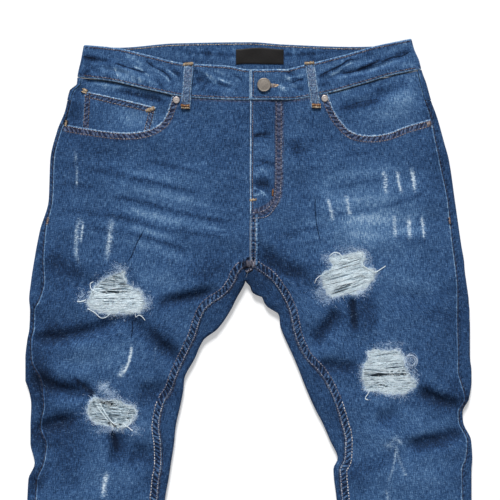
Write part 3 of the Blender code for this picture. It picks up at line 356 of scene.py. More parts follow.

# Broad painted shade and painted light along the folds, partly wash: darker down in them, lighter on the
# swells between them
PAINTED_FOLD_SHADES = [Fold(*row) for row in [
    (-275, -86, -194, -70, -8, 12, -0.42), (-200, -66, -118, -78, 6, 9, -0.38),
    (-128, -72, -78, -126, -6, 11, -0.42), (-126, -55, -46, -42, 3, 8, -0.45),
    (-262, 12, -204, -18, -3, 10, -0.34), (-272, -142, -214, -152, -9, 9, -0.45),
    (-226, -144, -188, -176, -2, 6, -0.45), (-150, -176, -88, -168, 3, 9, -0.36),
    (-284, -236, -205, -197, 7, 15, -0.48), (-172, -208, -155, -262, -2, 12, -0.40),
    (-160, -244, -112, -262, 3, 12, -0.34), (-290, -266, -254, -278, 0, 14, -0.40),
    (-138, -268, -112, -292, 0, 13, -0.2), (-240, -112, -130, -118, 12, 22, 0.26),
    (-150, -18, -84, -34, 6, 14, 0.24), (-240, -128, -160, -134, 4, 7, 0.16),
    (-262, -178, -214, -186, 4, 10, 0.12), (-236, -244, -186, -296, 4, 18, 0.16),
    (-150, -196, -112, -214, -4, 12, 0.14), (126, -40, 133, -96, 2, 5, -0.6),
    (144, -36, 151, -94, 2, 13, -0.42), (116, -56, 74, -104, 3, 10, -0.40),
    (124, -80, 96, -104, -3, 8, 0.18), (168, -40, 168, -102, -2, 5, 0.16),
    (74, -128, 146, -136, -2, 8, -0.36), (176, -38, 258, -70, -3, 13, -0.16),
    (160, -14, 246, -36, 3, 10, 0.16), (206, -160, 278, -184, -5, 10, -0.44),
    (250, -146, 276, -184, 3, 12, -0.30), (280, -210, 196, -236, 4, 9, -0.45),
    (204, -236, 112, -268, 3, 12, -0.34), (140, -186, 240, -198, 6, 18, 0.24),
    (146, -186, 188, -196, 3, 6, -0.18), (160, -196, 188, -206, -2, 5, -0.14),
    (206, -222, 262, -206, 2, 8, 0.16), (118, -262, 152, -292, 0, 14, -0.18),
    (220, -252, 236, -300, 0, 20, 0.10), (8, 14, 84, -20, -4, 9, -0.34),
    (54, -34, 100, -78, -5, 12, 0.12), (38, 2, 60, 62, -3, 14, -0.1), (-70, -20, -24, -4, 3, 12, -0.22),
    (-240, -60, -262, -110, 0, 12, -0.12),
]]

# Pale, fuzzy patches round the rips
PATCHES = [Fade(*row) for row in [
    (88, -38, 8, 7, 0.75), (97, -47, 9, 6, 0.6), (128, 18, 20, 4, 0.5), (-166, -6, 10, 5, 0.7),
    (-187, -158, 8, 8, 0.85), (-176, -166, 9, 6, 0.7), (-146, -212, 9, 7, 0.55),
    (-186, -212, 12, 5, 0.6), (208, -140, 5, 12, 0.5), (-214, -44, 5, 10, 0.5), (-128, -50, 5, 10, 0.5),
    (178, -103, 18, 4, 0.4), (176, -232, 9, 6, 0.5), (96, 6, 5, 6, 0.5), (150, 4, 5, 8, 0.5),
    (184, -168, 16, 4, 0.5), (204, -125, 6, 9, 0.35), (141, -36, 8, 5, 0.45),
]]

# Painted shadow lines down thin pinches of the cloth, and painted highlights along some: how dark (or,
# below 0, how light) each is, and its line of (x, rise)
PINCH_SHADE_LINES = [
    (1.0, [(-132, 47), (-143, 26), (-150, 10), (-157.5, -2)]),
    (1.0, [(-150, -71), (-149, -84), (-151.5, -98)]),
    (1.0, [(82.5, 87), (83, 68), (84.5, 49), (90, 25)]),
    (-0.55, [(1.3, 96.5), (14, 91.4), (24.1, 81.3)]),
    (-0.6, [(14, 88), (7, 86), (1.3, 85)]),
    (-0.40, [(41.8, 190), (41, 160), (41.6, 135), (41.2, 108)]),
    (0.55, [(2.5, 160.5), (14, 160), (28, 159)]),
    (0.45, [(4.8, 122), (14, 124.5), (25.4, 130)]),
    (0.9, [(-174, 254.6), (-155, 248), (-143, 245), (-128, 241)]),
    (-0.45, [(-127, 237), (-134, 242.6), (-150, 250.8)]),
    (0.7, [(-134, 258), (-123, 249.5), (-106, 240), (-100, 229)]),
    (-0.45, [(-102, 228), (-108, 236.6), (-125, 246.6)]),
    (-0.5, [(-93.6, 236), (-99, 241.6), (-106, 246.5)]),
    (-0.45, [(-173, 250.4), (-170, 242), (-166.6, 234)]),
    (0.6, [(-214, 263), (-204, 261.5), (-194, 260)]),
    (-0.45, [(-58, 244), (-52, 236), (-44, 226)]),
    (-0.4, [(-42, 236), (-32, 230), (-20, 227)]),
    (1.0, [(87.4, 237.5), (100, 243.8), (108.6, 248), (117, 252.3), (124.5, 257.6), (137, 258.7)]),
    (-0.45, [(134, 255), (126.6, 253.4), (119, 249), (112, 243), (101, 238)]),
    (1.1, [(116, 240.2), (135, 244.4), (143.5, 248.6), (156, 253.4), (166.8, 258.7)]),
    (0.8, [(207, 271.4), (194.3, 263.9), (179.5, 261), (167, 255)]),
    (-0.4, [(36.8, 218), (46, 223), (62, 219.5)]),
    (0.8, [(70, 235), (58.4, 231.5), (45.7, 225.6)]),
    (-0.5, [(42, 233), (54, 236), (64, 237.6)]),
    (0.5, [(117, 197.5), (130, 201.5), (147, 206.5), (170, 209.6)]),
]
Scrape = namedtuple("Scrape", "x rise x_end rise_end bend width strength")
SCRAPES = [Scrape(*row) for row in [
    (-223, 149, -220, 89, 1, 1.3, 0.75), (-214, 64, -216, -8, -6, 2.4, 0.85),
    (-213, 58, -216, 20, 1, 1.8, 0.9), (-174, 64, -183, -4, 0, 3.8, 0.78),
    (-107, 14, -100, -7, 1, 0.8, 0.5), (-150, -99, -165, -148, 4, 1.8, 1.2),
    (-157, -126, -169, -149, 1, 4, 0.75), (-184, -148, -184, -170, 2, 5, 0.7),
    (-180, -262, -184, -302, -3, 3.6, 0.95), (-120, -100, -122, -128, 1, 1, 0.4),
    (171.5, 118, 173, 83, 0, 3, 0.83), (166.5, 110, 173, 119, 0, 1.9, 0.77),
    (186.5, 121.5, 194.5, 83, -1.4, 2.2, 0.99), (204, 124.5, 209.5, 86, 1, 2.5, 0.99),
    (97, 88, 108, 48, 0, 2.6, 0.88), (121.5, 91, 127.5, 54, 0, 3, 0.83),
    (182.5, 66, 185, 26, 0, 2.8, 0.94), (201.5, 63, 203, 26, 0, 2.8, 0.99),
    (217, 64, 220.5, 27, 1, 2.3, 0.99), (184, -222, 170, -286, 6, 1.6, 0.65),
    (186, -224, 204, -278, -5, 1.8, 0.65), (176, -224, 196, -232, 3, 4, 0.6),
    (170, -284, 176, -310, 2, 3, 0.5),
]]

# The cross threads of each rip. tilt is their slope in degrees, and sag how far they hang in the middle.
# A slit parts them: its rise, its two ends from the rip's middle, and half its width. Above the first
# number of grey they are greyer, and the second is the share of them that is missing. felt, tangle and
# bright say how thickly broken ends lie over them, how disordered they are, and how pale. A shadow is a
# dark hollow: (x, rise) of both ends, half its width, and how dark it is.
Threads = namedtuple("Threads", "tilt sag slits grey felt tangle bright shadows")
THREADS = {
    "thigh_right": Threads(0, 1.2, [(-36.8, -18, 14, 0.9)], (-36, 0.2), 0.55, 0.8, -0.45, [
        (-186, -51.5, -176, -51.8, 0.6, 0.4), (-170, -58.5, -158, -59, 0.6, 0.35),
        (-166, -62.6, -150, -63, 0.5, 0.4), (-198, -60, -186, -62.5, 0.6, 0.4),
        (-152, -52, -146, -52.6, 0.6, 0.4), (-190, -57, -178, -58, 0.5, 0.35),
        (-187.5, -36.8, -180, -38.5, 1.3, 1.0), (-178, -36, -173.5, -37, 1.0, 1.0),
        (-172, -37.7, -163, -37, 1.3, 1.0), (-164, -36.8, -157.5, -36, 1.0, 0.9),
        (-166.5, -26.9, -158.5, -26.7, 0.8, 0.8), (-176.5, -33.9, -155, -31.8, 0.8, 0.75),
        (-193, -30.5, -180, -33.7, 0.8, 0.7), (-185.5, -21.4, -168, -22.8, 0.6, 0.5),
        (-180, -16.6, -164, -18.4, 0.6, 0.45), (-182, -24.6, -160, -25, 0.6, 0.5),
        (-190, -27.5, -170, -29.2, 0.6, 0.55), (-168, -20, -158, -20.4, 0.6, 0.5),
        (-198, -44.6, -191, -45.2, 0.8, 0.6), (-190, -45.6, -187.5, -45.6, 0.8, 0.6),
        (-184, -45, -180, -45.4, 0.8, 0.7), (-177, -44.6, -171, -45.2, 0.8, 0.65),
        (-164, -46, -157.5, -45.6, 0.8, 0.7), (-152.5, -45.8, -147, -45.2, 0.9, 0.8),
        (-186, -49, -171.5, -49.2, 0.7, 0.45), (-143, -47.6, -141.5, -47.6, 1.0, 0.9),
        (-160, -55, -153, -56, 0.6, 0.3), (-192, -54, -184, -53.6, 0.6, 0.3)]),
    "knee_right": Threads(-5, 1.0, [(-179.5, -9, 5, 1.2), (-205, -3, 4, 1.2)], (-215, 0),
                          0.4, 1.9, -0.5, [
        (-184.5, -176.6, -170.5, -180.2, 2.6, 1.25), (-182, -179, -172, -182, 1.6, 0.9),
        (-179, -203, -171.5, -209, 3.2, 1.25), (-174, -206, -170, -211.5, 2.4, 1.1),
        (-190, -174.5, -184, -177.4, 1.4, 0.6),
        (-178.5, -202.5, -172.5, -208, 2.6, 1.0), (-191, -174, -184, -184, 1.2, 0.55),
        (-181, -190, -174, -201, 1.0, 0.6), (-167.5, -205, -160.5, -205.6, 1.0, 0.8),
        (-156, -185.4, -151, -190.5, 0.9, 0.65), (-158, -199, -153, -196, 0.8, 0.6),
        (-203, -184, -201.5, -193, 0.7, 0.5), (-198.5, -171.5, -198, -181, 0.7, 0.5),
        (-194, -190, -186, -192, 0.8, 0.5), (-192, -197.5, -183, -199, 0.8, 0.5),
        (-180, -185.6, -166, -186.6, 0.6, 0.5), (-170, -181.4, -158, -183.6, 0.7, 0.5),
        (-176, -193, -164, -193.4, 0.6, 0.45), (-168, -198, -160, -199.6, 0.7, 0.5),
        (-148.5, -186, -147, -192, 0.8, 0.5)]),
    "thigh_left": Threads(14.5, 0.2, [(-27, -18, 4, 0.5)], (-60, 0.0), 0.6, 0.6, 0.5, [
        (108, -34.3, 128, -28.2, 1.0, 1.0), (104.5, -38.8, 124, -32.6, 1.0, 1.0),
        (112.5, -4.2, 138, 4.4, 0.7, 0.7), (111.5, -8.0, 126, -3.4, 0.7, 0.6),
        (96.5, -22.4, 131, -13.6, 0.7, 0.6), (98, -28, 112, -24.4, 0.6, 0.45),
        (118, -23, 143, -15.6, 0.6, 0.5), (122, -10.6, 148, -2.8, 0.6, 0.55),
        (93, -15.6, 104, -12, 0.6, 0.5), (128, -31.8, 140, -28, 0.6, 0.5),
        (124, -38.6, 133, -35.2, 0.6, 0.45), (134, -24, 146, -19.8, 0.6, 0.45),
        (103, -16.8, 118, -12.6, 0.5, 0.4), (138.5, 0.5, 142, 8, 0.7, 0.35),
        (142.5, -1, 143, 4.5, 0.8, 0.5), (110, -19.8, 126, -15.4, 0.5, 0.4)]),
    "knee_left": Threads(3, 0.3, [(-141.6, -22, 22, 0.9)], (-170, 0.0), 0.75, 1.0, 0.35, [
        (157, -141.6, 171.5, -141.6, 1.9, 1.0), (162, -143.6, 167, -143.6, 1.2, 1.0),
        (174, -141.6, 177, -141.6, 1.2, 1.0), (179.4, -141.8, 182, -141.8, 1.2, 1.0),
        (184.5, -141.9, 190, -141.7, 1.6, 1.0), (192.3, -141.4, 197.8, -141.2, 1.5, 1.0),
        (146, -141.6, 155, -141.4, 1.2, 0.6), (172.5, -133.6, 197, -131.2, 0.8, 0.8),
        (147.5, -135, 168, -137.8, 1.4, 0.45), (161.3, -156.2, 167.6, -154.2, 1.0, 0.95),
        (167.6, -154.2, 172.7, -156.8, 1.0, 0.95), (157, -154.8, 164, -152, 0.7, 0.6),
        (172, -137.7, 174.6, -137.9, 0.9, 0.9), (178.4, -137.6, 181.6, -138, 0.9, 0.9),
        (186.5, -137.4, 190, -137.6, 0.9, 0.9), (193.4, -136.8, 196, -137, 0.9, 0.9),
        (160, -117.6, 187, -113.4, 0.7, 0.55), (162.6, -125, 179, -121.4, 0.6, 0.4),
        (178.4, -155, 180, -155, 0.9, 0.9), (193.4, -156.2, 195, -156, 0.9, 0.9),
        (152, -147, 160, -150, 0.6, 0.5), (184, -148.6, 198, -150, 0.6, 0.45),
        (176, -129, 186, -127.4, 0.7, 0.4), (150, -128, 158, -126.6, 0.6, 0.4),
        (150, -158, 158, -156.4, 0.7, 0.5), (182, -160.6, 194, -160, 0.6, 0.4)]),
}

# Long loose threads: (x, rise, height above the cloth)
LOOSE_THREADS = [
    [(-199, -24, 0.6), (-203, -27, 1.4), (-201, -34, 1.8), (-196, -37, 1.4), (-190, -39, 0.5)],
    [(-206, -58, 0.4), (-197, -63, 1.2), (-190, -69, 1.6), (-184, -69, 1.6), (-178, -65, 1.0),
     (-174, -61, 0.3)],
    [(-146, -62, 0.4), (-145, -68, 1.4), (-141, -66, 1.8), (-137, -68, 1.4), (-133, -73, 0.5)],
    [(-208, -47, 0.5), (-214, -49, 0.9), (-219, -49, 0.5)],
    [(-191, -178, 0.4), (-186, -188, 1.2), (-180, -197, 1.4), (-173, -204, 1.2), (-166, -206, 0.5)],
    [(-194, -182, 0.4), (-187, -192, 1.0), (-181, -200, 0.6)],
    [(-150, -192, 0.5), (-149, -197, 1.4), (-152, -204, 1.6), (-160, -208, 1.4), (-166, -207, 0.5)],
    [(-160, -205, 0.6), (-154, -209, 1.2), (-149, -213, 0.6)],
    [(-158, -198, 0.5), (-154, -200, 1.2), (-157, -205, 1.2), (-163, -206, 0.6)],
    [(101, 9, 0.4), (107, 13, 1.4), (114, 11, 1.8), (117, 4, 1.4), (112, -1, 0.6)],
    [(142, 15, 0.5), (144, 6, 1.8), (143, -3, 2.0), (150, -8, 1.6), (158, -12, 1.0), (166, -8, 1.0),
     (172, -4, 0.4)],
    [(92, -16, 0.5), (88, -17, 1.2), (84, -21, 0.9), (82, -26, 0.4)],
    [(152, -162, 0.4), (149, -167, 1.4), (146, -172, 1.2), (150, -174, 0.4)],
]


def smooth_line(points):
    """A smooth curve through (at, value) pairs that never overshoots them."""
    at, value = np.array(sorted(points), float).T
    step = np.diff(at)
    pitch = np.diff(value) / step
    slope = np.zeros(len(at))
    slope[0], slope[-1] = pitch[0], pitch[-1]
    turning = pitch[:-1] * pitch[1:] > 0
    with np.errstate(divide="ignore", invalid="ignore"):
        mean = 2 * pitch[:-1] * pitch[1:] / (pitch[:-1] + pitch[1:])
    slope[1:-1] = np.where(turning, mean, 0)

    def read(where):
        where = np.clip(np.asarray(where, float), at[0], at[-1])
        i = np.clip(np.searchsorted(at, where) - 1, 0, len(step) - 1)
        t = (where - at[i]) / step[i]
        ends = value[i] * (1 + 2 * t) * (1 - t) ** 2 + value[i + 1] * t * t * (3 - 2 * t)
        bend = step[i] * (slope[i] * t * (1 - t) ** 2 - slope[i + 1] * t * t * (1 - t))
        return ends + bend

    return read


def ramp(value, start, end):
    """0 before start, 1 after end, and smooth between."""
    t = np.clip((value - start) / (end - start), 0, 1)
    return t * t * (3 - 2 * t)


LINE = {side: {column: smooth_line([(row.rise, getattr(row, column)) for row in rows])
               for column in Section._fields[1:]} for side, rows in LEGS.items()}
# The inseams' own small bends near the crotch: how far each is out from its leg's plain line
INSEAM_BENDS = {
    -1: [(-130, 0), (-98, -2), (-82.5, 2.7), (-70, 5.7), (-58.8, 7), (-51.6, 4.5), (-44, -1.5),
         (-34, -4.9), (-24, -3.7), (-15, 3), (-8, 6), (0, 0)],
    1: [(-150, 0), (-93, -6.5), (-66, -5.2), (-40.6, -5.4), (-27.9, -6.2), (-17, -6.6), (-9.8, -8),
        (0, 0)],
}


def bent(line, bend):
    """A line of the plan with smaller bends added."""
    return lambda rise: line(rise) + bend(rise)


for side in LEGS:
    LINE[side]["inseam"] = bent(LINE[side]["inseam"], smooth_line(INSEAM_BENDS[side]))
crown = smooth_line(CROWN)
front_top, front_bottom = smooth_line(FRONT_TOP), smooth_line(FRONT_BOTTOM)
back_top, back_bottom = smooth_line(BACK_TOP), smooth_line(BACK_BOTTOM)


def yoke_seam(x):
    """Rise of the seam under the yoke: it drops in a straight line to the centre back."""
    return np.interp(np.abs(x), (0, YOKE_REACH), (YOKE_CENTRE, YOKE_SIDE))


def walked(path):
    """The length along a line from its start to each of its points."""
    return np.concatenate([[0], np.cumsum(np.linalg.norm(np.diff(path, axis=0), axis=1))])


def points_at(path, length, at):
    """The places on a line at some of its lengths."""
    return np.stack([np.interp(at, length, path[:, axis]) for axis in range(path.shape[1])], -1)


TINY = 1e-9


def left_of(along):
    """Directions turned a quarter to the left."""
    return np.stack([-along[..., 1], along[..., 0]], -1)


def unit(vectors, least=0.0):
    """Vectors brought to a length of 1; least keeps vectors without a length finite."""
    return vectors / (np.linalg.norm(vectors, axis=-1, keepdims=True) + least)


def on_side(side, points):
    """Plan points on one side, from their distances to the centre line."""
    return np.array([(side * out, rise) for out, rise in points])


def curve(points, step=2.0, closed=False):
    """A smooth plan line through a few points, resampled at an even step."""
    points = np.array(points, float)
    if closed:
        points = np.concatenate([points[-1:], points, points[:2]])
    else:
        points = np.concatenate([2 * points[:1] - points[1:2], points, 2 * points[-1:] - points[-2:-1]])
    t = np.linspace(0, 1, 12, endpoint=False)[:, None]
    pieces = []
    for a, b, c, d in zip(points, points[1:], points[2:], points[3:]):
        pieces.append(0.5 * (2 * b + (c - a) * t + (2 * a - 5 * b + 4 * c - d) * t**2
                             + (3 * b - a - 3 * c + d) * t**3))
    line = np.concatenate(pieces + [points[-2:-1]])
    length = walked(line)
    count = max(2, int(round(length[-1] / step)) + 1)
    line = points_at(line, length, np.linspace(0, length[-1], count))
    return line[:-1] if closed else line


EDGE_MARGIN, EDGE_POINTS = 20, 320     # how far the edges go on past the cloth, and their points
AT_ONCE = 1500                         # points that are measured together
FOLD_REACH = 2.6                       # how far a fold is felt, in its widths


def folded_edges():
    """Straight pieces along the four folded edges, with the direction that faces out of the cloth."""
    starts, ends, outs = [], [], []
    for side in LEGS:
        for column, highest, way in (("outer", WAIST_CORNER + EDGE_MARGIN, side),
                                     ("inner", APEX, -side)):
            rise = np.linspace(highest, HEM - EDGE_MARGIN, EDGE_POINTS)
            path = np.stack([side * LINE[side][column](rise), rise], -1)
            starts.append(path[:-1])
            ends.append(path[1:])
            outs.append(unit(left_of(np.diff(path, axis=0)) * way))
    return np.concatenate(starts), np.concatenate(ends), np.concatenate(outs)


EDGE_START, EDGE_END, EDGE_OUT = folded_edges()


def closest(x, rise, starts, ends, reach):
    """Distance to a chain of straight pieces (at most reach), the piece, and the place on it."""
    x, rise = np.broadcast_arrays(np.asarray(x, float), np.asarray(rise, float))
    point = np.stack([x.ravel(), rise.ravel()], -1)
    gap, piece = np.full(len(point), float(reach)), np.zeros(len(point), int)
    place = np.zeros(len(point))
    low, high = np.minimum(starts[:, 1], ends[:, 1]), np.maximum(starts[:, 1], ends[:, 1])
    order = np.argsort(point[:, 1], kind="stable")
    for part in np.array_split(order, len(point) // AT_ONCE + 1):
        if not len(part):
            continue
        at = point[part]
        near = np.flatnonzero((high > at[0, 1] - reach) & (low < at[-1, 1] + reach))
        if not len(near):
            continue
        along = (ends - starts)[near]
        offset = at[:, None] - starts[near]
        t = np.clip((offset * along).sum(-1) / (along**2).sum(-1), 0, 1)
        away = np.linalg.norm(offset - t[..., None] * along, axis=-1)
        best = away.argmin(1)
        row = np.arange(len(part))
        closer = away[row, best] < reach
        chosen = part[closer]
        gap[chosen] = away[row, best][closer]
        piece[chosen] = near[best][closer]
        place[chosen] = t[row, best][closer]
    return gap.reshape(x.shape), piece.reshape(x.shape), place.reshape(x.shape)


def near_line(line, margin, x, rise):
    """True for the points within the bounds of a line and a margin round them."""
    (low_x, low_rise), (high_x, high_rise) = line.min(0) - margin, line.max(0) + margin
    return (x > low_x) & (x < high_x) & (rise > low_rise) & (rise < high_rise)


def fold_profile(fold, x, rise):
    """1 along the middle of a fold, falling off to its sides and fading out at both ends."""
    start, end = np.array([fold.x, fold.rise], float), np.array([fold.x_end, fold.rise_end], float)
    along = end - start
    across = np.array([-along[1], along[0]]) / np.linalg.norm(along)
    t = np.linspace(0, 1, 9)[:, None]
    path = start + along * t + across * fold.bend * 4 * t * (1 - t)
    reach = FOLD_REACH * fold.width
    near = near_line(path, reach, x, rise)
    out = np.zeros(x.shape)
    if near.any():
        gap, piece, part = closest(x[near], rise[near], path[:-1], path[1:], reach)
        share = (piece + part) / (len(path) - 1)
        fade = ramp(share, -0.02, 0.25) * (1 - ramp(share, 0.7, 1.02))
        out[near] = fade * (np.exp(-((gap / fold.width) ** 2)) - np.exp(-(FOLD_REACH**2)))
    return out


RIPPLES = np.random.default_rng(SEEDS["ripples"])
RIPPLE_STEEPNESS = 0.0042
PHASES = 6.3                           # random phases go from 0 to this
RIPPLE_WAVES = [(RIPPLES.uniform(0, np.pi), RIPPLES.uniform(16, 70), RIPPLES.uniform(0, PHASES))
                for _ in range(16)]


def ripple(x, rise):
    """The slight unevenness of cloth that lies loose."""
    height = 0.0
    for angle, length, phase in RIPPLE_WAVES:
        along = x * np.cos(angle) + rise * np.sin(angle)
        height = height + RIPPLE_STEEPNESS * length * np.sin(2 * np.pi * along / length + phase)
    return height


def seat_lift(rise):
    """The seat lies higher than the legs."""
    return SEAT_LIFT * ramp(rise, -80, -10)


def depths(folds, x, rise):
    """The depth of some folds together."""
    return sum(fold.depth * fold_profile(fold, x, rise) for fold in folds)


def swell(x, rise):
    """Height that the crown, the folds and the fly add to the flat garment's edge thickness."""
    gap, _, _ = closest(x, rise, EDGE_START, EDGE_END, SHOULDER)
    shoulder = np.sin(np.pi / 2 * np.clip(gap / SHOULDER, 0, 1))
    height = (crown(rise) - 2 * EDGE_RADIUS - seat_lift(rise)) * shoulder
    return (height - depths(FOLDS, x, rise) * np.clip(gap / FOLD_MARGIN, 0, 1)
            + (ripple(x, rise) - depths(CREASES, x, rise)) * np.clip(gap / CREASE_MARGIN, 0, 1))


def form(x, rise, face=1):
    """Points and outward normals of the outer surface; face is 1 on top and -1 beneath."""
    x, rise, face = np.broadcast_arrays(np.asarray(x, float), np.asarray(rise, float), face)
    gap, piece, _ = closest(x, rise, EDGE_START, EDGE_END, SHOULDER)
    lean = np.clip(1 - gap / EDGE_RADIUS, 0, 1)
    climb = np.sqrt(1 - lean**2)
    on_top = face > 0
    small = 0.5          # the step over which the slope is taken
    relief = []
    for shift_x, shift_rise in ((0, 0), (small, 0), (-small, 0), (0, small), (0, -small)):
        at = (x + shift_x, rise + shift_rise)
        height = swell(*at) if on_top.any() else np.zeros(x.shape)
        if not on_top.all():
            height = np.where(on_top, height, depths(BACK_CREASES, *at))
        relief.append(height)
    slope_x, slope_rise = (relief[1] - relief[2]) / (2 * small), (relief[3] - relief[4]) / (2 * small)
    height = seat_lift(rise) + EDGE_RADIUS * (1 + face * climb) + relief[0]
    tilt = np.where(on_top, -climb, climb)
    normal = np.stack([EDGE_OUT[piece, 0] * lean + slope_x * tilt,
                       EDGE_OUT[piece, 1] * lean + slope_rise * tilt, face * climb], -1)
    return np.stack([x, rise - MIDDLE_RISE, height], -1), unit(normal)


def lay(x, rise, lift=0.0, face=1):
    """Points that lie a little above the outer surface."""
    points, normals = form(x, rise, face)
    return points + normals * np.broadcast_to(lift, points.shape[:-1])[..., None]


def lap_lift(x, rise):
    """How far the fly's top layer stands above the layer under it."""
    return (CLOTH + 2 * SEAM_GAP) * ramp(rise, 2, 32) * (1 - ramp(x, 20, 36)) * (x > -0.5)


def band_lift(x):
    """The same for the waistband, on its front."""
    return BAND_PROUD + (BAND_CLOTH + SEAM_GAP) * np.where(x > 0, 1 - ramp(x, LAP_FLAT, LAP_EASE), 0)


VALLEY_SHADE_AND_WEAR = 0.05       # painted shade, partly wear: darker for each millimetre of a fold's depth
RIDGE_LIGHT_AND_WEAR = 0.08        # and, as painted light and partly wear, lighter for each of a ridge's

# A seam or hemmed edge: its line, how far its stitched band reaches, how strongly it is puckered, worn
# pale along the edge (a rim below 0 is instead a painted shadow line beside the seam) and stained, and
# how far the cloth rolls down at it and stands up in it
Seam = namedtuple("Seam", "path width rope rim stain roll lift")
FAR = 60.0               # the distance kept where no seam or hole is near
SEAM_REACH = 18
RIM_REACH = 8
ROLL_RADIUS = 1.8        # of the turn at a sewn edge
HOLE_REACH = 30
SNAP = 0.55              # a grid point this near a hole, in steps of the grid, moves onto its edge
PINCH_SHADE_REACH = 20
PINCH_SHADE_WIDTH = 3.8
SCRAPE_SPREAD = 1.15     # how far a scrape is felt, in its widths
EDGE_STRAY = 0.55        # how far the points of a torn edge stray


def seam_fields(x, rise, seams):
    """What the seams near each point do to the cloth there."""
    fields = {name: np.zeros(x.shape) for name in ("run", "rope", "rim", "stain", "roll", "lift")}
    fields["gap"] = np.full(x.shape, FAR)
    best = np.full(x.shape, np.inf)
    for seam in seams:
        starts, ends = seam.path[:-1], seam.path[1:]
        gap, piece, place = closest(x, rise, starts, ends, SEAM_REACH)
        length = np.linalg.norm(ends - starts, axis=1)
        run = np.concatenate([[0], np.cumsum(length)])[piece] + place * length[piece]
        band = 1 - ramp(gap, seam.width - 1.0, seam.width + 1.4)
        nearer = gap / seam.width < best
        best = np.where(nearer, gap / seam.width, best)
        for name, value in (("run", run), ("rope", seam.rope * band), ("gap", gap),
                            ("rim", seam.rim * (gap < RIM_REACH)), ("stain", seam.stain * band)):
            fields[name] = np.where(nearer, value, fields[name])
        turn = 1 - np.sqrt(1 - np.clip(1 - gap / ROLL_RADIUS, 0, 1) ** 2)
        fields["roll"] = np.maximum(fields["roll"], seam.roll * turn)
        fields["lift"] = np.maximum(fields["lift"], seam.lift * band)
    return fields


def side_line(side, column, start, end, count=160):
    """One of a leg's long lines, from one rise to another."""
    rise = np.linspace(start, end, count)
    return np.stack([side * LINE[side][column](rise), rise], -1)


def across_line(height, start, end, shift=0.0, count=60):
    """A curved seam that runs across the garment, and may be shifted up or down."""
    x = np.linspace(start, end, count)
    return np.stack([x, height(x) + shift], -1)


def spot(fade, x, rise):
    """1 in the middle of a fade, falling off over its reach."""
    far = ((x - fade.x) / fade.reach_x) ** 2 + ((rise - fade.rise) / fade.reach_rise) ** 2
    return np.exp(-far)


def tone_at(x, rise, face):
    """How washed or dark the denim is, from 0 for its plain blue, with painted shade down its folds and
    creases and painted light on its ridges.
    """
    tone = np.zeros(x.shape)
    for fade in FADES_AND_PAINTED_SHADE:
        tone = tone + fade.tone * spot(fade, x, rise)
    for streak in WHISKERS_AND_PAINTED_CREASES + PAINTED_FOLD_SHADES:
        tone = tone + streak.depth * fold_profile(streak, x, rise)
    # Painted shade down each fold and crease and painted light on each ridge, partly wear
    for fold in FOLDS + CREASES:
        darker = max(fold.depth, 0) * VALLEY_SHADE_AND_WEAR - max(-fold.depth, 0) * RIDGE_LIGHT_AND_WEAR
        tone = tone - darker * min(1.4, 8 / fold.width) * fold_profile(fold, x, rise)
    beneath = 0.12 * np.exp(-((rise - 90) / 90) ** 2) - 0.05
    return np.where(face > 0, tone, beneath)


def scrape_fields(x, rise):
    """Paleness along the scrapes, and the distance to the nearest painted pinch shadow line with its
    mask.
    """
    pale = np.zeros(x.shape)
    for scrape in SCRAPES:
        streak = Fold(*scrape[:5], scrape.width * SCRAPE_SPREAD, 1)
        pale = np.maximum(pale, scrape.strength * fold_profile(streak, x, rise))
    for patch in PATCHES:
        pale = np.maximum(pale, patch.tone * spot(patch, x, rise))
    pinch_shade_gap, mask = np.full(x.shape, float(PINCH_SHADE_REACH)), np.zeros(x.shape)
    for strength, points in PINCH_SHADE_LINES:
        path = curve(points, 3)
        gap, piece, place = closest(x, rise, path[:-1], path[1:], PINCH_SHADE_REACH)
        along = (path[1:] - path[:-1])[piece]
        turn = along[..., 0] * (rise - path[piece, 1]) - along[..., 1] * (x - path[piece, 0])
        share = (piece + place) / (len(path) - 1)
        near = gap < np.abs(pinch_shade_gap)
        pinch_shade_gap = np.where(near, gap * np.where(turn > 0, 1, -1), pinch_shade_gap)
        fade = strength * ramp(share, 0, 0.2) * (1 - ramp(share, 0.8, 1)) * (gap < PINCH_SHADE_WIDTH)
        mask = np.where(near, fade, mask)
    return pale, pinch_shade_gap, mask


RIP_EDGES = {}
for number, (rip, (_, outline)) in enumerate(RIPS.items()):
    random = np.random.default_rng(SEEDS["torn edges"] + number)
    edge = curve(outline, 2.2, closed=True)
    RIP_EDGES[rip] = edge + random.normal(0, EDGE_STRAY, edge.shape)
POCKET_CUTS = {}
for side in LEGS:
    edge = curve(on_side(side, POCKET_EDGES[side]), 2.5)
    corners = [(side * POCKET_CUT_OUT, edge[-1, 1]), (side * POCKET_CUT_OUT, POCKET_CUT_TOP),
               (edge[0, 0], POCKET_CUT_TOP)]
    POCKET_CUTS[side] = np.concatenate([edge, corners])


def inside(outline, x, rise):
    """True for the points within a closed outline."""
    hit = np.zeros(x.shape, bool)
    for (x0, y0), (x1, y1) in zip(outline, np.roll(outline, -1, axis=0)):
        if y0 != y1:
            crosses = (y0 > rise) != (y1 > rise)
            hit ^= crosses & (x < (x1 - x0) * (rise - y0) / (y1 - y0) + x0)
    return hit


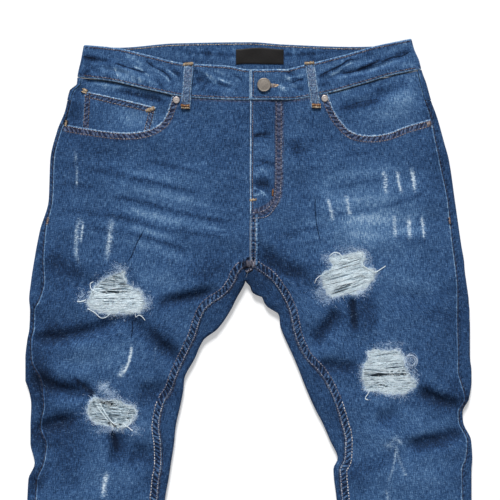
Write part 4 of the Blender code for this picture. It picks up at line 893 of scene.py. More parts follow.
def fit_holes(x, rise, outlines):
    """Move the grid's nearest points onto the holes' outlines; clear is below 0 inside a hole."""
    x, rise = x.copy(), rise.copy()
    clear = np.full(x.shape, FAR)
    step = np.zeros(x.shape)
    for axis in (0, 1):
        length = np.hypot(np.diff(x, axis=axis), np.diff(rise, axis=axis))
        for more in ((0, 1), (1, 0)):
            pad = [(0, 0), (0, 0)]
            pad[axis] = more
            step = np.maximum(step, np.pad(length, pad, mode="edge"))
    for outline in outlines:
        near = near_line(outline, HOLE_REACH, x, rise)
        ends = np.roll(outline, -1, axis=0)
        gap, piece, place = closest(x[near], rise[near], outline, ends, HOLE_REACH)
        within = inside(outline, x[near], rise[near])
        onto = outline[piece] + place[:, None] * (ends - outline)[piece]
        snap = (gap < SNAP * step[near]) & (clear[near] > 0)
        x[near] = np.where(snap, onto[:, 0], x[near])
        rise[near] = np.where(snap, onto[:, 1], rise[near])
        signed = np.where(snap, 0, np.where(within, -gap, gap))
        clear[near] = np.minimum(clear[near], signed)
    return x, rise, clear


def cells(clear, keep=None):
    """The grid's faces: squares, and triangles along the holes."""
    rows, columns = clear.shape
    index = np.arange(rows * columns).reshape(rows, columns)
    corner = np.stack([index[:-1, :-1], index[:-1, 1:], index[1:, 1:], index[1:, :-1]], -1).reshape(-1, 4)
    value = clear.ravel()[corner]
    kept = np.ones(len(corner), bool) if keep is None else keep.ravel()
    out = (value < 0).sum(1)
    whole = corner[kept & (out == 0) & (value.max(1) > 0)]
    split = kept & (out == 1) & (value.max(1) > 0)
    cut_corner = value[split].argmin(1)
    around = (cut_corner[:, None] + np.arange(1, 4)) % 4
    return whole, np.take_along_axis(corner[split], around, 1)


def new_object(name, points, faces, made_of, smooth_below=40):
    """A mesh object from points in millimetres."""
    mesh = bpy.data.meshes.new(name)
    mesh.from_pydata((np.asarray(points) * MM).tolist(), [], faces)
    mesh.materials.append(made_of)
    mesh.shade_smooth()
    if smooth_below:
        mesh.set_sharp_from_angle(angle=np.radians(smooth_below))
    mesh.update()
    made = bpy.data.objects.new(name, mesh)
    bpy.context.scene.collection.objects.link(made)
    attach(made, "root")
    return made


def declare(nodes):
    """Hide the imported parts that a piece stands for."""
    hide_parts(*nodes)


def write_fields(made, fields):
    """Keep a value for each point of a mesh, for its material to read."""
    mesh = made.data
    for name, values in fields.items():
        values = np.asarray(values, np.float32)
        vector = values.ndim == 2
        kept = mesh.attributes.new(name, "FLOAT_VECTOR" if vector else "FLOAT", "POINT")
        kept.data.foreach_set("vector" if vector else "value", values.ravel())


def wall(name, outer, inner, clear, made_of, fields, keep=None, reverse=1.0):
    """A closed cloth wall on two grids of points; it has no face where clear is below 0."""
    count = outer.shape[0] * outer.shape[1]
    squares, corners = cells(clear, keep)
    across, down = outer[:-1, 1:] - outer[:-1, :-1], outer[1:, :-1] - outer[:-1, :-1]
    if (np.cross(across, down) * (outer - inner)[:-1, :-1]).sum() < 0:
        squares, corners = squares[:, ::-1], corners[:, ::-1]
    walked = np.concatenate([np.stack([loops[:, i], loops[:, (i + 1) % loops.shape[1]]], -1)
                             for loops in (squares, corners) for i in range(loops.shape[1])])
    code, back = walked[:, 0] * count + walked[:, 1], walked[:, 1] * count + walked[:, 0]
    rim = walked[~np.isin(back, code)]
    rim = np.stack([rim[:, 1], rim[:, 0], rim[:, 0] + count, rim[:, 1] + count], -1)
    used = np.unique(np.concatenate([squares.ravel(), corners.ravel()]))
    used = np.concatenate([used, used + count])
    renumber = np.zeros(2 * count, int)
    renumber[used] = np.arange(len(used))
    faces = []
    for group in (squares, corners, squares[:, ::-1] + count, corners[:, ::-1] + count, rim):
        faces += renumber[group].tolist()
    points = np.concatenate([outer.reshape(-1, 3), inner.reshape(-1, 3)])
    made = new_object(name, points[used], faces, made_of)
    both = {"reverse": reverse * (used >= count)}
    for key, value in fields.items():
        flat = value.reshape(count, -1)
        both[key] = np.concatenate([flat, flat])[used].squeeze()
    write_fields(made, both)
    return made


def denim_fields(x, rise, face, height, seam, rips=(), darker=0.0):
    """Everything that the denim's material reads at each point."""
    pale, pinch_shade_gap, pinch_shade_mask = scrape_fields(x, rise)
    for rip in rips:
        gap, _, _ = closest(x, rise, RIP_EDGES[rip], np.roll(RIP_EDGES[rip], -1, axis=0), 20)
        pale = np.maximum(pale, 0.9 * np.exp(-((gap / 3.8) ** 1.4)))
    top = face > 0
    centre = sum(np.where(np.sign(x) == side,
                          side * (LINE[side]["outer"](rise) + LINE[side]["inner"](rise)) / 2, 0)
                 for side in LEGS)
    grain = np.stack([(x - centre) * MM + 2 * (~top), rise * MM, height * MM], -1)
    fields = {name: seam[name] for name in ("gap", "run", "rope", "rim", "stain")}
    return {**fields, "tone": tone_at(x, rise, face) + darker, "pale": np.where(top, pale, 0),
            "pinch_shade_gap": pinch_shade_gap, "pinch_shade_on": np.where(top, pinch_shade_mask, 0), "grain": grain}


def cloth(name, x, rise, face, made_of, seams=(), under_seams=(), holes=(), rips=(), proud=0.0,
          thick=CLOTH, keep=None, darker=0.0, reverse=1.0, nodes=()):
    """A cloth panel on the garment's surface, with its seams, holes and worn places."""
    x, rise, clear = fit_holes(x, rise, list(holes) + [RIP_EDGES[rip] for rip in rips])
    face = np.broadcast_to(face, x.shape)
    seam = seam_fields(x, rise, seams)
    if (face < 0).any():
        under = seam_fields(x, rise, under_seams)
        seam = {key: np.where(face > 0, seam[key], under[key]) for key in seam}
    points, normals = form(x, rise, face)
    proud = np.broadcast_to(proud, x.shape)
    outer = points + normals * (proud + seam["lift"] - seam["roll"])[..., None]
    inner = points + normals * (proud - thick)[..., None]
    fields = denim_fields(x, rise, face, points[..., 2], seam, rips, darker)
    made = wall(name, outer, inner, clear, made_of, fields, keep, reverse)
    declare(nodes)


def crowded(count, near, gain, both=True):
    """Places from 0 to 1 that stand closer together at both ends, or only at the start."""
    s = np.linspace(0, 1, 400)
    weight = 1 + gain * np.exp(-s / near) + (gain * np.exp(-(1 - s) / near) if both else 0)
    total = np.concatenate([[0], np.cumsum((weight[1:] + weight[:-1]) / 2)])
    return np.interp(np.linspace(0, 1, count), total / total[-1], s)


def steps_down(top, marks):
    """Rises from top downwards: marks are (end, step) pairs."""
    out = [np.array([top])]
    for end, step in marks:
        count = max(1, int(round((top - end) / step)))
        out.append(np.linspace(top, end, count + 1)[1:])
        top = end
    return np.concatenate(out)


class Wire:
    """A value in a material's node tree that can be added, scaled and compared."""

    def __init__(self, graph, socket):
        self.graph, self.socket = graph, socket

    def __add__(self, other):
        return self.graph.math("ADD", self, other)

    def __sub__(self, other):
        return self.graph.math("SUBTRACT", self, other)

    def __rsub__(self, other):
        return self.graph.math("SUBTRACT", other, self)

    def __mul__(self, other):
        return self.graph.math("MULTIPLY", self, other)

    __radd__, __rmul__ = __add__, __mul__

    def ramp(self, start, end, low=0.0, high=1.0):
        """low before start, high after end, and smooth between."""
        return self.graph.node("ShaderNodeMapRange", {0: self, 1: start, 2: end, 3: low, 4: high},
                               interpolation_type="SMOOTHSTEP")

    def sine(self):
        return self.graph.math("SINE", self)


class Graph:
    """The node tree of one material."""

    def __init__(self, name):
        self.material = bpy.data.materials.new(name)
        self.material.use_nodes = True
        self.tree = self.material.node_tree
        self.shader = self.tree.nodes["Principled BSDF"]

    def join(self, value, socket):
        """Link or set an input; a colour may be given without its alpha."""
        if isinstance(value, Wire):
            self.tree.links.new(value.socket, socket)
        else:
            socket.default_value = (*value, 1.0) if socket.type == "RGBA" else value

    def node(self, kind, inputs, output=0, **settings):
        made = self.tree.nodes.new(kind)
        for name, value in settings.items():
            setattr(made, name, value)
        for place, value in inputs.items():
            self.join(value, made.inputs[place])
        return Wire(self, made.outputs[output])

    def math(self, operation, a, b=0.0):
        return self.node("ShaderNodeMath", {0: a, 1: b}, operation=operation)

    def read(self, name):
        return self.node("ShaderNodeAttribute", {}, output="Fac", attribute_name=name)

    def place(self, name, scale):
        """A vector that was kept for each point, scaled."""
        where = self.node("ShaderNodeAttribute", {}, output="Vector", attribute_name=name)
        return self.node("ShaderNodeVectorMath", {0: where, 1: scale}, operation="MULTIPLY")

    def own_place(self, *scale):
        """The place on the object itself, scaled."""
        where = self.node("ShaderNodeTexCoord", {}, output="Object")
        return self.node("ShaderNodeVectorMath", {0: where, 1: scale}, operation="MULTIPLY")

    def vector(self, first, second):
        return self.node("ShaderNodeCombineXYZ", {0: first, 1: second})

    def noise(self, where, detail=2.0, roughness=0.5):
        """Uneven from about -0.5 to 0.5."""
        found = self.node("ShaderNodeTexNoise", {"Vector": where, "Scale": 1.0, "Detail": detail,
                                                 "Roughness": roughness})
        return found - 0.5

    def colours(self, value, stops):
        """A colour that goes through the stops, which are (value, colour) pairs."""
        low, high = stops[0][0], stops[-1][0]
        scaled = self.node("ShaderNodeMapRange", {0: value, 1: low, 2: high})
        made = self.tree.nodes.new("ShaderNodeValToRGB")
        self.join(scaled, made.inputs[0])
        ramp_made = made.color_ramp
        while len(ramp_made.elements) < len(stops):
            ramp_made.elements.new(0.5)
        for element, (at, colour) in zip(ramp_made.elements, stops):
            element.position = (at - low) / (high - low)
            element.color = (*colour, 1.0)
        return Wire(self, made.outputs[0])

    def blend(self, share, first, second):
        made = self.tree.nodes.new("ShaderNodeMix")
        made.data_type = "RGBA"
        for place, value in ((0, share), (6, first), (7, second)):
            self.join(value, made.inputs[place])
        return Wire(self, made.outputs[2])

    def surface(self, colour, roughness, bump=None, metallic=0.0, specular=0.5):
        self.shader.inputs["Metallic"].default_value = metallic
        self.shader.inputs["Specular IOR Level"].default_value = specular
        self.join(colour, self.shader.inputs["Base Color"])
        self.join(roughness, self.shader.inputs["Roughness"])
        if bump is not None:
            made = self.tree.nodes.new("ShaderNodeBump")
            made.inputs["Strength"].default_value = 1.0
            made.inputs["Distance"].default_value = MM
            self.join(bump, made.inputs["Height"])
            self.tree.links.new(made.outputs[0], self.shader.inputs["Normal"])
        return self.material


# Colours of the cloth's right side and of its reverse, from darkest to most washed
DENIM = [(-1.0, (0.005, 0.012, 0.032)), (-0.4, (0.013, 0.036, 0.094)), (0.0, (0.027, 0.072, 0.176)),
         (0.4, (0.058, 0.132, 0.276)), (0.9, (0.150, 0.270, 0.44)), (1.4, (0.42, 0.54, 0.66))]
REVERSE = [(-0.9, (0.08, 0.13, 0.21)), (0.0, (0.18, 0.25, 0.34)), (0.9, (0.32, 0.39, 0.47))]
STAIN = (0.032, 0.028, 0.045), (0.150, 0.142, 0.195)     # between the puckers of a seam, and on them
RUBBED, BARED = (0.24, 0.37, 0.54), (0.58, 0.68, 0.77)   # half worn through, and down to the weft
ROPE_PITCH = 6.2         # of the puckers along a seam
ROPE_MIDDLE = 5.2        # from a seam's line to the middle of its band


def denim_material(name, lighter=0.0):
    """Washed denim: mottled blue, with its weave, its roped seams, its worn, stained places, and the
    painted shade and highlights of its folds, pinches and seam edges.
    """
    g = Graph(name)
    gap, run, rope, rim, stain = (g.read(key) for key in ("gap", "run", "rope", "rim", "stain"))
    cloudy = g.noise(g.place("grain", (28, 28, 28)), 3)
    mottled = g.noise(g.place("grain", (110, 110, 110)), 3)
    warp = g.noise(g.place("grain", (1300, 170, 10)), 0)
    weft = g.noise(g.place("grain", (190, 1200, 10)), 0)
    fleck = g.noise(g.place("grain", (1300, 1300, 10)), 0)
    grain = warp * 1.4 + weft * 0.8 + fleck * 1.3
    wobble = g.noise(g.place("grain", (60, 60, 60)), 1)
    pucker = g.noise(g.vector(run * 0.44 + gap * 0.10, gap * 0.10), 1)
    rung = (run * (2 * np.pi / ROPE_PITCH) + gap * 0.8 + pucker * 7).sine()
    middle = g.math("ABSOLUTE", gap - ROPE_MIDDLE).ramp(1.6, 3.8, 1.0, 0.0)
    patchy = g.noise(g.vector(run * 0.30, gap * 0.35), 2)
    roped = rung * (0.45 + middle * 0.75) + pucker * 1.6 - middle * 0.55
    tone = g.read("tone") + lighter + cloudy * 0.4 + mottled * 0.32 + grain + roped * rope * 0.55
    # A worn pale line along a sewn edge; where rim is below 0 it is a painted shadow line beside the seam
    edge = (gap + wobble * 0.8).ramp(0.9, 2.2, 1.0, 0.0) * rim * (patchy * 1.8 + 0.85)
    tone = tone + edge * 1.1
    # Painted shadow, or below 0 painted highlight, along the thin pinch lines
    pinch_shaded = g.math("ABSOLUTE", g.read("pinch_shade_gap") + wobble * 0.6).ramp(0.2, 1.2, 1.0, 0.0)
    tone = tone - pinch_shaded * g.read("pinch_shade_on") * 0.9
    colour = g.colours(tone, DENIM)
    stained = stain * 0.62 + patchy * stain * 1.6 - edge * 0.7
    worn = g.blend(rung.ramp(-0.6, 0.9), *STAIN)
    colour = g.blend(stained.ramp(0.05, 0.9) * 0.66, colour, worn)
    clump = g.noise(g.place("grain", (430, 430, 430)), 1)
    bare = g.read("pale") * 1.1 + weft * 0.8 + fleck * 0.8 + clump * 1.1 + mottled * 0.4
    colour = g.blend(bare.ramp(0.15, 0.95) * 0.6, colour, RUBBED)
    colour = g.blend(bare.ramp(0.66, 1.25), colour, BARED)
    colour = g.blend(g.read("reverse"), colour, g.colours(grain + cloudy * 0.3, REVERSE))
    height = grain * 0.07 + mottled * 0.3 + roped * rope * 0.4
    return g.surface(colour, 0.95, height, specular=0.12)


denim = denim_material("denim")
facing_denim = denim_material("facing_denim", 0.1)


def waist_rise(side):
    """Rise of the waistband seam where it meets the outseam."""
    return float(front_bottom(side * LINE[side]["outseam"](240))) - CURVED_SEAM_GAP


def follow_seam(x, nominal, seam):
    """Bend the rows above the crotch to a curved seam, and keep them where they meet the outseam."""
    share = seam(x) / seam(x[:, :1])
    return nominal[:, None] * np.where(nominal[:, None] > 0, share, 1)


def join_columns(*groups):
    """Columns of distances as one grid; neighbouring groups share a column."""
    return np.concatenate([groups[0]] + [group[:, 1:] for group in groups[1:]], 1)


def between(start, end, places):
    """Rows of distances from start to end."""
    return start[:, None] * (1 - places) + end[:, None] * places


# Places across the cloth's round edge, from its tangent to its outermost line
ARC = EDGE_RADIUS * (1 - np.cos(np.radians([90, 68, 46, 24, 0])))
HALF_TURN = len(ARC) - 1 # columns from there to the tangent on either face


def hem_line(side):
    return on_side(side, [(150, HEM), (340, HEM)])


def yoke_line(side):
    return on_side(side, [(0, YOKE_CENTRE), (YOKE_REACH, YOKE_SIDE)])


def front_seams(side):
    """The sewn lines that show on a front."""
    outseam, inseam = side_line(side, "outseam", 246, HEM, 300), side_line(side, "inseam", 0, HEM, 400)
    pocket = curve(on_side(side, POCKET_EDGES[side]))
    waist = across_line(front_bottom, 0, side * 222, -CURVED_SEAM_GAP)
    # The waist seam's rim below 0 paints a shadow line on the front under the band
    seams = [Seam(outseam, 3.0, 0.35, 0.8, 0.12, 0.8, 0), Seam(inseam, 10.5, 1.05, 0.8, 0.35, 0.8, 0.5),
             Seam(pocket, 10.0, 0.8, 1.0, 0.8, 0.85, 0.5), Seam(waist, 2.6, 0.2, -0.3, 0.6, 0.7, 0),
             Seam(hem_line(side), 14.0, 0.9, 1.2, 0.1, 0.8, 0.5)]
    if side > 0:
        fly = np.array([(0, 212), (0, -2)], float)
        seat = np.array([(0, 62), (0, -2)], float)
        seams += [Seam(fly, 2.4, 0.25, 1.35, 0, 0.8, 0),
                  Seam(seat + (0.5, 0), 4.4, 0.9, 0.85, 0.0, 0, 0.6),
                  Seam(seat + (7.8, 0), 3.6, 0.9, 0.8, 0.0, 0, 0.3),
                  Seam(FLY_STITCH, 5.5, 0.35, 0, 1.1, 0, 0.2)]
    return seams


FLY_STITCH = curve([(37, 208), (37, 150), (36.5, 100), (33, 80), (21, 69), (6, 63), (-0.5, 60)], 2)


def front_panel(side):
    """A front: from the outseam to the fly, and down the leg to the inseam."""
    nominal = steps_down(waist_rise(side), [(-300, 2.4), (HEM + 16, 8.0), (HEM, 2.0)])
    outer = LINE[side]["outseam"](nominal) - HALF_GAP
    inner = LINE[side]["inseam"](nominal) + HALF_GAP
    if side < 0:
        inner = inner - (FLY_UNDERLAP + HALF_GAP) * ramp(nominal, FLY_END, FLY_END + 8)
    x = side * between(outer, inner, crowded(106, 0.03, 1.6))
    rise = follow_seam(x, nominal, front_bottom)
    proud = lap_lift(x, rise) if side > 0 else 0.0
    name = SIDE_NAMES[side]
    rips = [rip for rip, (rip_side, _) in RIPS.items() if rip_side == side]
    cloth(f"denim_front_{name}", x, rise, 1, denim, front_seams(side), holes=[POCKET_CUTS[side]],
          rips=rips, proud=proud, nodes=[f"front_{name}"])


def back_panel(side):
    """A back: it lies on the floor and folds over the edges up to its seams with the front."""
    nominal = steps_down(YOKE_SIDE, [(-3, 4.0), (APEX, 2.5), (-90, 2.6), (-300, 4.0), (HEM + 16, 9.0),
                                     (HEM, 2.5)])
    parted = nominal <= APEX
    outseam, outer = LINE[side]["outseam"](nominal) + HALF_GAP, LINE[side]["outer"](nominal)
    inseam, inner = LINE[side]["inseam"](nominal) - HALF_GAP, LINE[side]["inner"](nominal)
    seam = side * APEX_DRIFT * ramp(-nominal, 0, -APEX) + HALF_GAP
    edge = np.where(parted, inner, seam)
    turn = np.where(parted[:, None], ARC, 0)
    beside = 6           # columns on top, beside each fold
    out = join_columns(between(outseam, outer - EDGE_RADIUS, np.linspace(0, 1, beside)),
                       outer[:, None] - ARC, outer[:, None] - ARC[::-1],
                       between(outer - EDGE_RADIUS, edge + turn[:, 0], np.linspace(0, 1, 46)),
                       edge[:, None] + turn, edge[:, None] + turn[:, ::-1],
                       between(edge + turn[:, 0], inseam, np.linspace(0, 1, beside + 1)))
    columns = out.shape[1]
    folded = beside + HALF_TURN
    face = np.ones(columns)
    face[folded:columns - folded] = -1
    # Where the legs are still one, the cloth has no inner fold, and no strip on top of it
    strip = columns - 1 - beside
    keep = np.ones((len(nominal) - 1, columns - 1), bool)
    keep[:, strip - 2 * HALF_TURN:strip] = parted[1:, None]
    keep[:, strip:] = nominal[:-1, None] < -2.9
    x = side * out
    rise = follow_seam(x, nominal, yoke_seam)
    name = SIDE_NAMES[side]
    # Rims below 0 paint a shadow line beside the outseam and the inseam
    seams = [Seam(side_line(side, "outseam", 246, HEM, 300), 4.0, 0.5, -0.55, 0.1, 0.8, 0),
             Seam(side_line(side, "inseam", 0, HEM, 400), 3.0, 0.3, -0.6, 0.1, 0.8, 0),
             Seam(hem_line(side), 14.0, 0.9, 1.2, 0.1, 0.8, 0)]
    under = [Seam(yoke_line(side), 3.0, 0.3, 0.3, 0.1, 0.5, 0),
             Seam(np.array([(0, 170), (0, 0), (APEX_DRIFT, APEX)], float), 3.0, 0.3, 0.0, 0.1, 0.5, 0),
             seams[2]]
    # The back's strips seen on top beside the folds are painted darker, as shade where the cloth turns
    # over the edge
    cloth(f"denim_back_{name}", x, rise, face, denim, seams, under, keep=keep,
          darker=np.where(face < 0, 0.0, np.where(np.arange(columns) < folded, -0.10, -0.16)),
          nodes=[f"back_{name}", f"back_{name}_outer_turn", f"back_{name}_inner_turn"])


def yoke(side):
    """A yoke: the shaped strip between the back and the waistband, and its turn over the edge."""
    rows = 20
    share = np.linspace(0, 1, rows)
    nominal = waist_rise(side) + (YOKE_SIDE - waist_rise(side)) * share
    outseam, outer = LINE[side]["outseam"](nominal) + HALF_GAP, LINE[side]["outer"](nominal)
    beside = 4
    out = join_columns(between(outseam, outer - EDGE_RADIUS, np.linspace(0, 1, beside)),
                       outer[:, None] - ARC, outer[:, None] - ARC[::-1],
                       between(outer - EDGE_RADIUS, np.full(rows, HALF_GAP), np.linspace(0, 1, 56)))
    face = np.where(np.arange(out.shape[1]) < beside + HALF_TURN, 1, -1)
    x = side * out
    low = yoke_seam(x) + CURVED_SEAM_GAP
    high = np.where(face > 0, front_bottom(x), back_bottom(x)) - CURVED_SEAM_GAP
    rise = high + (low - high) * share[:, None]
    name = SIDE_NAMES[side]
    outseam_line = Seam(side_line(side, "outseam", 246, 180, 40), 2.6, 0.3, 0.25, 0.1, 0.8, 0)
    under = [Seam(yoke_line(side) + (0, CURVED_SEAM_GAP), 10.0, 0.7, 0.8, 0.3, 0.6, 0),
             Seam(across_line(back_bottom, 0, side * 219, -CURVED_SEAM_GAP), 3.0, 0.2, 0.3, 0.3, 0.6, 0)]
    cloth(f"denim_yoke_{name}", x, rise, face, denim, [outseam_line], under,
          nodes=[f"yoke_{name}", f"yoke_{name}_outer_turn"])


def waistband():
    """One strip from the fly's top layer round the back to the layer under the button."""
    rows, front_columns, back_columns = 34, 140, 110
    share = crowded(rows, 0.08, 1.2)[:, None]
    corner = {}
    for side in LEGS:
        foot = float(front_bottom(side * 219))
        corner[side] = LINE[side]["outer"](foot + share * (float(front_top(side * 209)) - foot))
    left, right = corner[1][:, 0] - EDGE_RADIUS, EDGE_RADIUS - corner[-1][:, 0]
    front_left = between(np.full(rows, OVERLAP_END), left, crowded(front_columns, 0.01, 2, False))
    back = between(left, right, np.linspace(0, 1, back_columns))
    front_right = between(right, np.full(rows, UNDERLAP_END), np.linspace(0, 1, front_columns))
    x = join_columns(front_left, corner[1] - ARC, corner[1] - ARC[::-1], back,
                     ARC - corner[-1], ARC[::-1] - corner[-1], front_right)
    column = np.arange(x.shape[1])
    back_start = front_columns + HALF_TURN
    back_end = back_start + back_columns - 1 + 2 * HALF_TURN
    face = np.where((column < back_start) | (column >= back_end), 1, -1)
    low = np.where(face > 0, front_bottom(x), back_bottom(x))
    high = np.where(face > 0, front_top(x), back_top(x))
    rise = low + (high - low) * share
    gap, _, _ = closest(x, rise, EDGE_START, EDGE_END, 10)
    lap = np.where(column < back_start, 1 - ramp(x, LAP_FLAT, LAP_EASE), 0) * (BAND_CLOTH + SEAM_GAP)
    proud = np.where(face > 0, BAND_PROUD * np.clip(gap / EDGE_RADIUS, 0, 1), 0) + lap
    tops = [across_line(line, -216, 214, count=160) for line in (front_top, back_top)]
    feet = [across_line(line, -224, 224, count=160) for line in (front_bottom, back_bottom)]
    end = np.array([(OVERLAP_END, 207), (OVERLAP_END, 246)])
    seams = [Seam(tops[0], 4.5, 0.5, 0.6, 0.5, 1.0, 0.1), Seam(feet[0], 4.5, 0.5, 0.85, 0.45, 1.0, 0.1),
             Seam(end, 3.5, 0.3, 1.1, 0.2, 1.0, 0.1)]
    under = [Seam(tops[1], 4.5, 0.35, 0.4, 0.35, 0.9, 0), Seam(feet[1], 4.5, 0.35, 1.1, 0.15, 0.9, 0)]
    streaks = depths(BAND_STREAKS, x, rise)
    cloth("denim_waistband", x[::-1], rise[::-1], face, denim, seams, under, proud=proud[::-1],
          thick=BAND_CLOTH, darker=0.12 + np.where(face < 0, streaks, 0)[::-1], reverse=0.0,
          nodes=["waistband"])


def pocket_facing(side):
    """The denim seen inside a front pocket, one or two cloths below the front."""
    rows = 44
    share = np.linspace(1, 0, rows)
    nominal = FACING_BOTTOM + (float(front_bottom(side * 219)) - FACING_BOTTOM) * share
    outer = LINE[side]["outseam"](nominal) - SEAM_GAP
    x = side * between(outer, np.full(rows, FACING_INNER), np.linspace(0, 1, 66))
    rise = FACING_BOTTOM + (front_bottom(x) - 4 * SEAM_GAP - FACING_BOTTOM) * share[:, None]
    name = SIDE_NAMES[side]
    seams = [Seam(side_line(side, "outseam", 246, 140, 60), 3.0, 0.35, 0.4, 0.2, 0, 0)]
    from_seam = np.abs(LINE[side]["outseam"](rise) - side * x)
    free = (1 - ramp(from_seam, 0, 12)) * ramp(rise, 184, 194)
    cloth(f"denim_pocket_facing_{name}", x, rise, 1, facing_denim, seams,
          proud=-FACING_DROP[side] * (1 - 0.85 * free),
          nodes=[f"pocket_facing_{name}"])


def coin_pocket():
    """The small pocket on the wearer's right facing; its lower edge passes under the front."""
    ends = np.array([COIN_POCKET["top"], COIN_POCKET["bottom"]], float)
    across, down = np.linspace(0, 1, 46)[None, :, None], np.linspace(0, 1, 28)[:, None, None]
    top = ends[0, 0] * (1 - across) + ends[0, 1] * across
    bottom = ends[1, 0] * (1 - across) + ends[1, 1] * across
    grid = top * (1 - down) + bottom * down
    seams = [Seam(ends[0], 10.0, 0.7, 1.0, 0.55, 0.9, 0), Seam(ends[:, 0], 8.0, 0.6, 0.4, 0.7, 0.8, 0),
             Seam(ends[:, 1], 8.0, 0.6, 0.4, 0.7, 0.8, 0)]
    cloth("denim_coin_pocket", grid[..., 0], grid[..., 1], 1, facing_denim, seams,
          proud=-(CLOTH + SEAM_GAP), nodes=["coin_pocket"])


def tubes(name, paths, radii, made_of, sides, shade=None):
    """One joined mesh of many thin tubes: paths is (tubes, points, 3) and radii (tubes, points)."""
    paths = np.asarray(paths, float)
    count, steps = paths.shape[:2]
    radii = np.broadcast_to(radii, (count, steps))
    along = unit(np.gradient(paths, axis=1), TINY)
    across = unit(np.cross(along, (0.05, 0.02, 1.0)), TINY)
    up = np.cross(across, along)
    turn = 2 * np.pi * (np.arange(sides) + 0.25 * (sides % 2)) / sides
    ring = (np.cos(turn)[:, None] * across[:, :, None] + np.sin(turn)[:, None] * up[:, :, None])
    points = paths[:, :, None] + ring * radii[..., None, None]
    index = np.arange(count * steps * sides).reshape(count, steps, sides)
    after = np.roll(index, -1, axis=2)
    walls = np.stack([index[:, :-1], after[:, :-1], after[:, 1:], index[:, 1:]], -1).reshape(-1, 4)
    ends = np.concatenate([index[:, 0, ::-1], index[:, -1]])
    made = new_object(name, points.reshape(-1, 3), walls.tolist() + ends.tolist(), made_of, 0)
    if shade is not None:
        shade = np.asarray(shade, float).reshape(count, -1, 1)
        write_fields(made, {"shade": np.broadcast_to(shade, index.shape).ravel()})
    return made


def shifted(path, distance):
    """A plan line moved sideways, to the left of its direction."""
    return path + left_of(unit(np.gradient(path, axis=0), TINY)) * distance


def trimmed(path, start, end):
    """The part of a plan line between two lengths from its start; end counts back from its end."""
    length = walked(path)
    return points_at(path, length, np.linspace(start, length[-1] - end, max(2, int(length[-1] / 2))))


# A stitch has four points: their places along it, their heights and its thickness there
STITCH_SHARES = np.array([0, 0.2, 0.8, 1])
STITCH_START, STITCH_LENGTH = 0.14, 0.74     # in pitches
STITCH_ARCH = np.array([-0.35, 0.2, 0.2, -0.35])
STITCH_RADII = np.array([0.2, 0.48, 0.48, 0.2])
ACROSS_STITCH = np.array([-1, -0.6, 0.6, 1])[None, :, None]
# How thick each colour of thread is, beside the plain one
THREAD_SIZE = {"cream": 1.2, "worn": 1.25, "tan": 1.15, "lilac": 1.3}
# A row of stitches: its colour, plan line, lift above the bare form, face and stitch pitch
Row = namedtuple("Row", "colour path lift face pitch")
ON_POCKET = -2           # the face of the rows on the back pockets, which lie flat on the floor


def stitch_paths(row, random):
    """The stitches of one row, each a short arch that dips into the cloth at both ends."""
    length = walked(row.path)
    count = max(1, int(length[-1] / row.pitch))
    starts = (np.arange(count) + STITCH_START) * length[-1] / count
    share = STITCH_SHARES * STITCH_LENGTH * length[-1] / count
    at = starts[:, None] + share + random.normal(0, 0.08, (count, 1))
    x, rise = np.moveaxis(points_at(row.path, length, at), -1, 0)
    x, rise = x + random.normal(0, 0.12, (count, 1)), rise + random.normal(0, 0.12, (count, 1))
    lift = row.lift(x, rise) if callable(row.lift) else row.lift
    return lay(x, rise, lift + STITCH_ARCH, row.face)


def between_stitches(paths):
    """Dots of painted shadow where the needle went in, from the end of each stitch to the start of the
    next.
    """
    ends = np.stack([paths[:-1, -1], paths[1:, 0]], 1)
    close = np.linalg.norm(ends[:, 1] - ends[:, 0], axis=-1) < 2.5
    return ends[close] + (0, 0, 0.22)


def bar_paths(tacks):
    """Bar tacks: short threads side by side along (x, rise, x_end, rise_end, width, lift)."""
    out = []
    random = np.random.default_rng(SEEDS["tacks"])
    for x, rise, x_end, rise_end, width, lift in tacks:
        start, end = np.array([x, rise], float), np.array([x_end, rise_end], float)
        along = end - start
        count = max(3, int(np.linalg.norm(along) / 0.55))
        across = np.array([-along[1], along[0]]) / np.linalg.norm(along) * width / 2
        middle = start + along * ((np.arange(count) + 0.5) / count)[:, None]
        side = ACROSS_STITCH * random.uniform(0.6, 1.3, (count, 1, 1))
        flat = middle[:, None] + across * side + random.normal(0, 0.22, (count, 1, 2))
        high = lift + np.array([-0.3, 0.35, 0.35, -0.3]) + random.normal(0, 0.12, (count, 1))
        out.append(lay(flat[..., 0], flat[..., 1], high)[random.random(count) < 0.88])
    return np.concatenate(out)


def on_front(extra):
    """The lift of a row on the fronts, the fly's top layer among them."""
    return lambda x, rise: np.where(x > 0, lap_lift(x, rise), 0) + extra


def on_band(x, rise):
    return band_lift(x) + 0.1


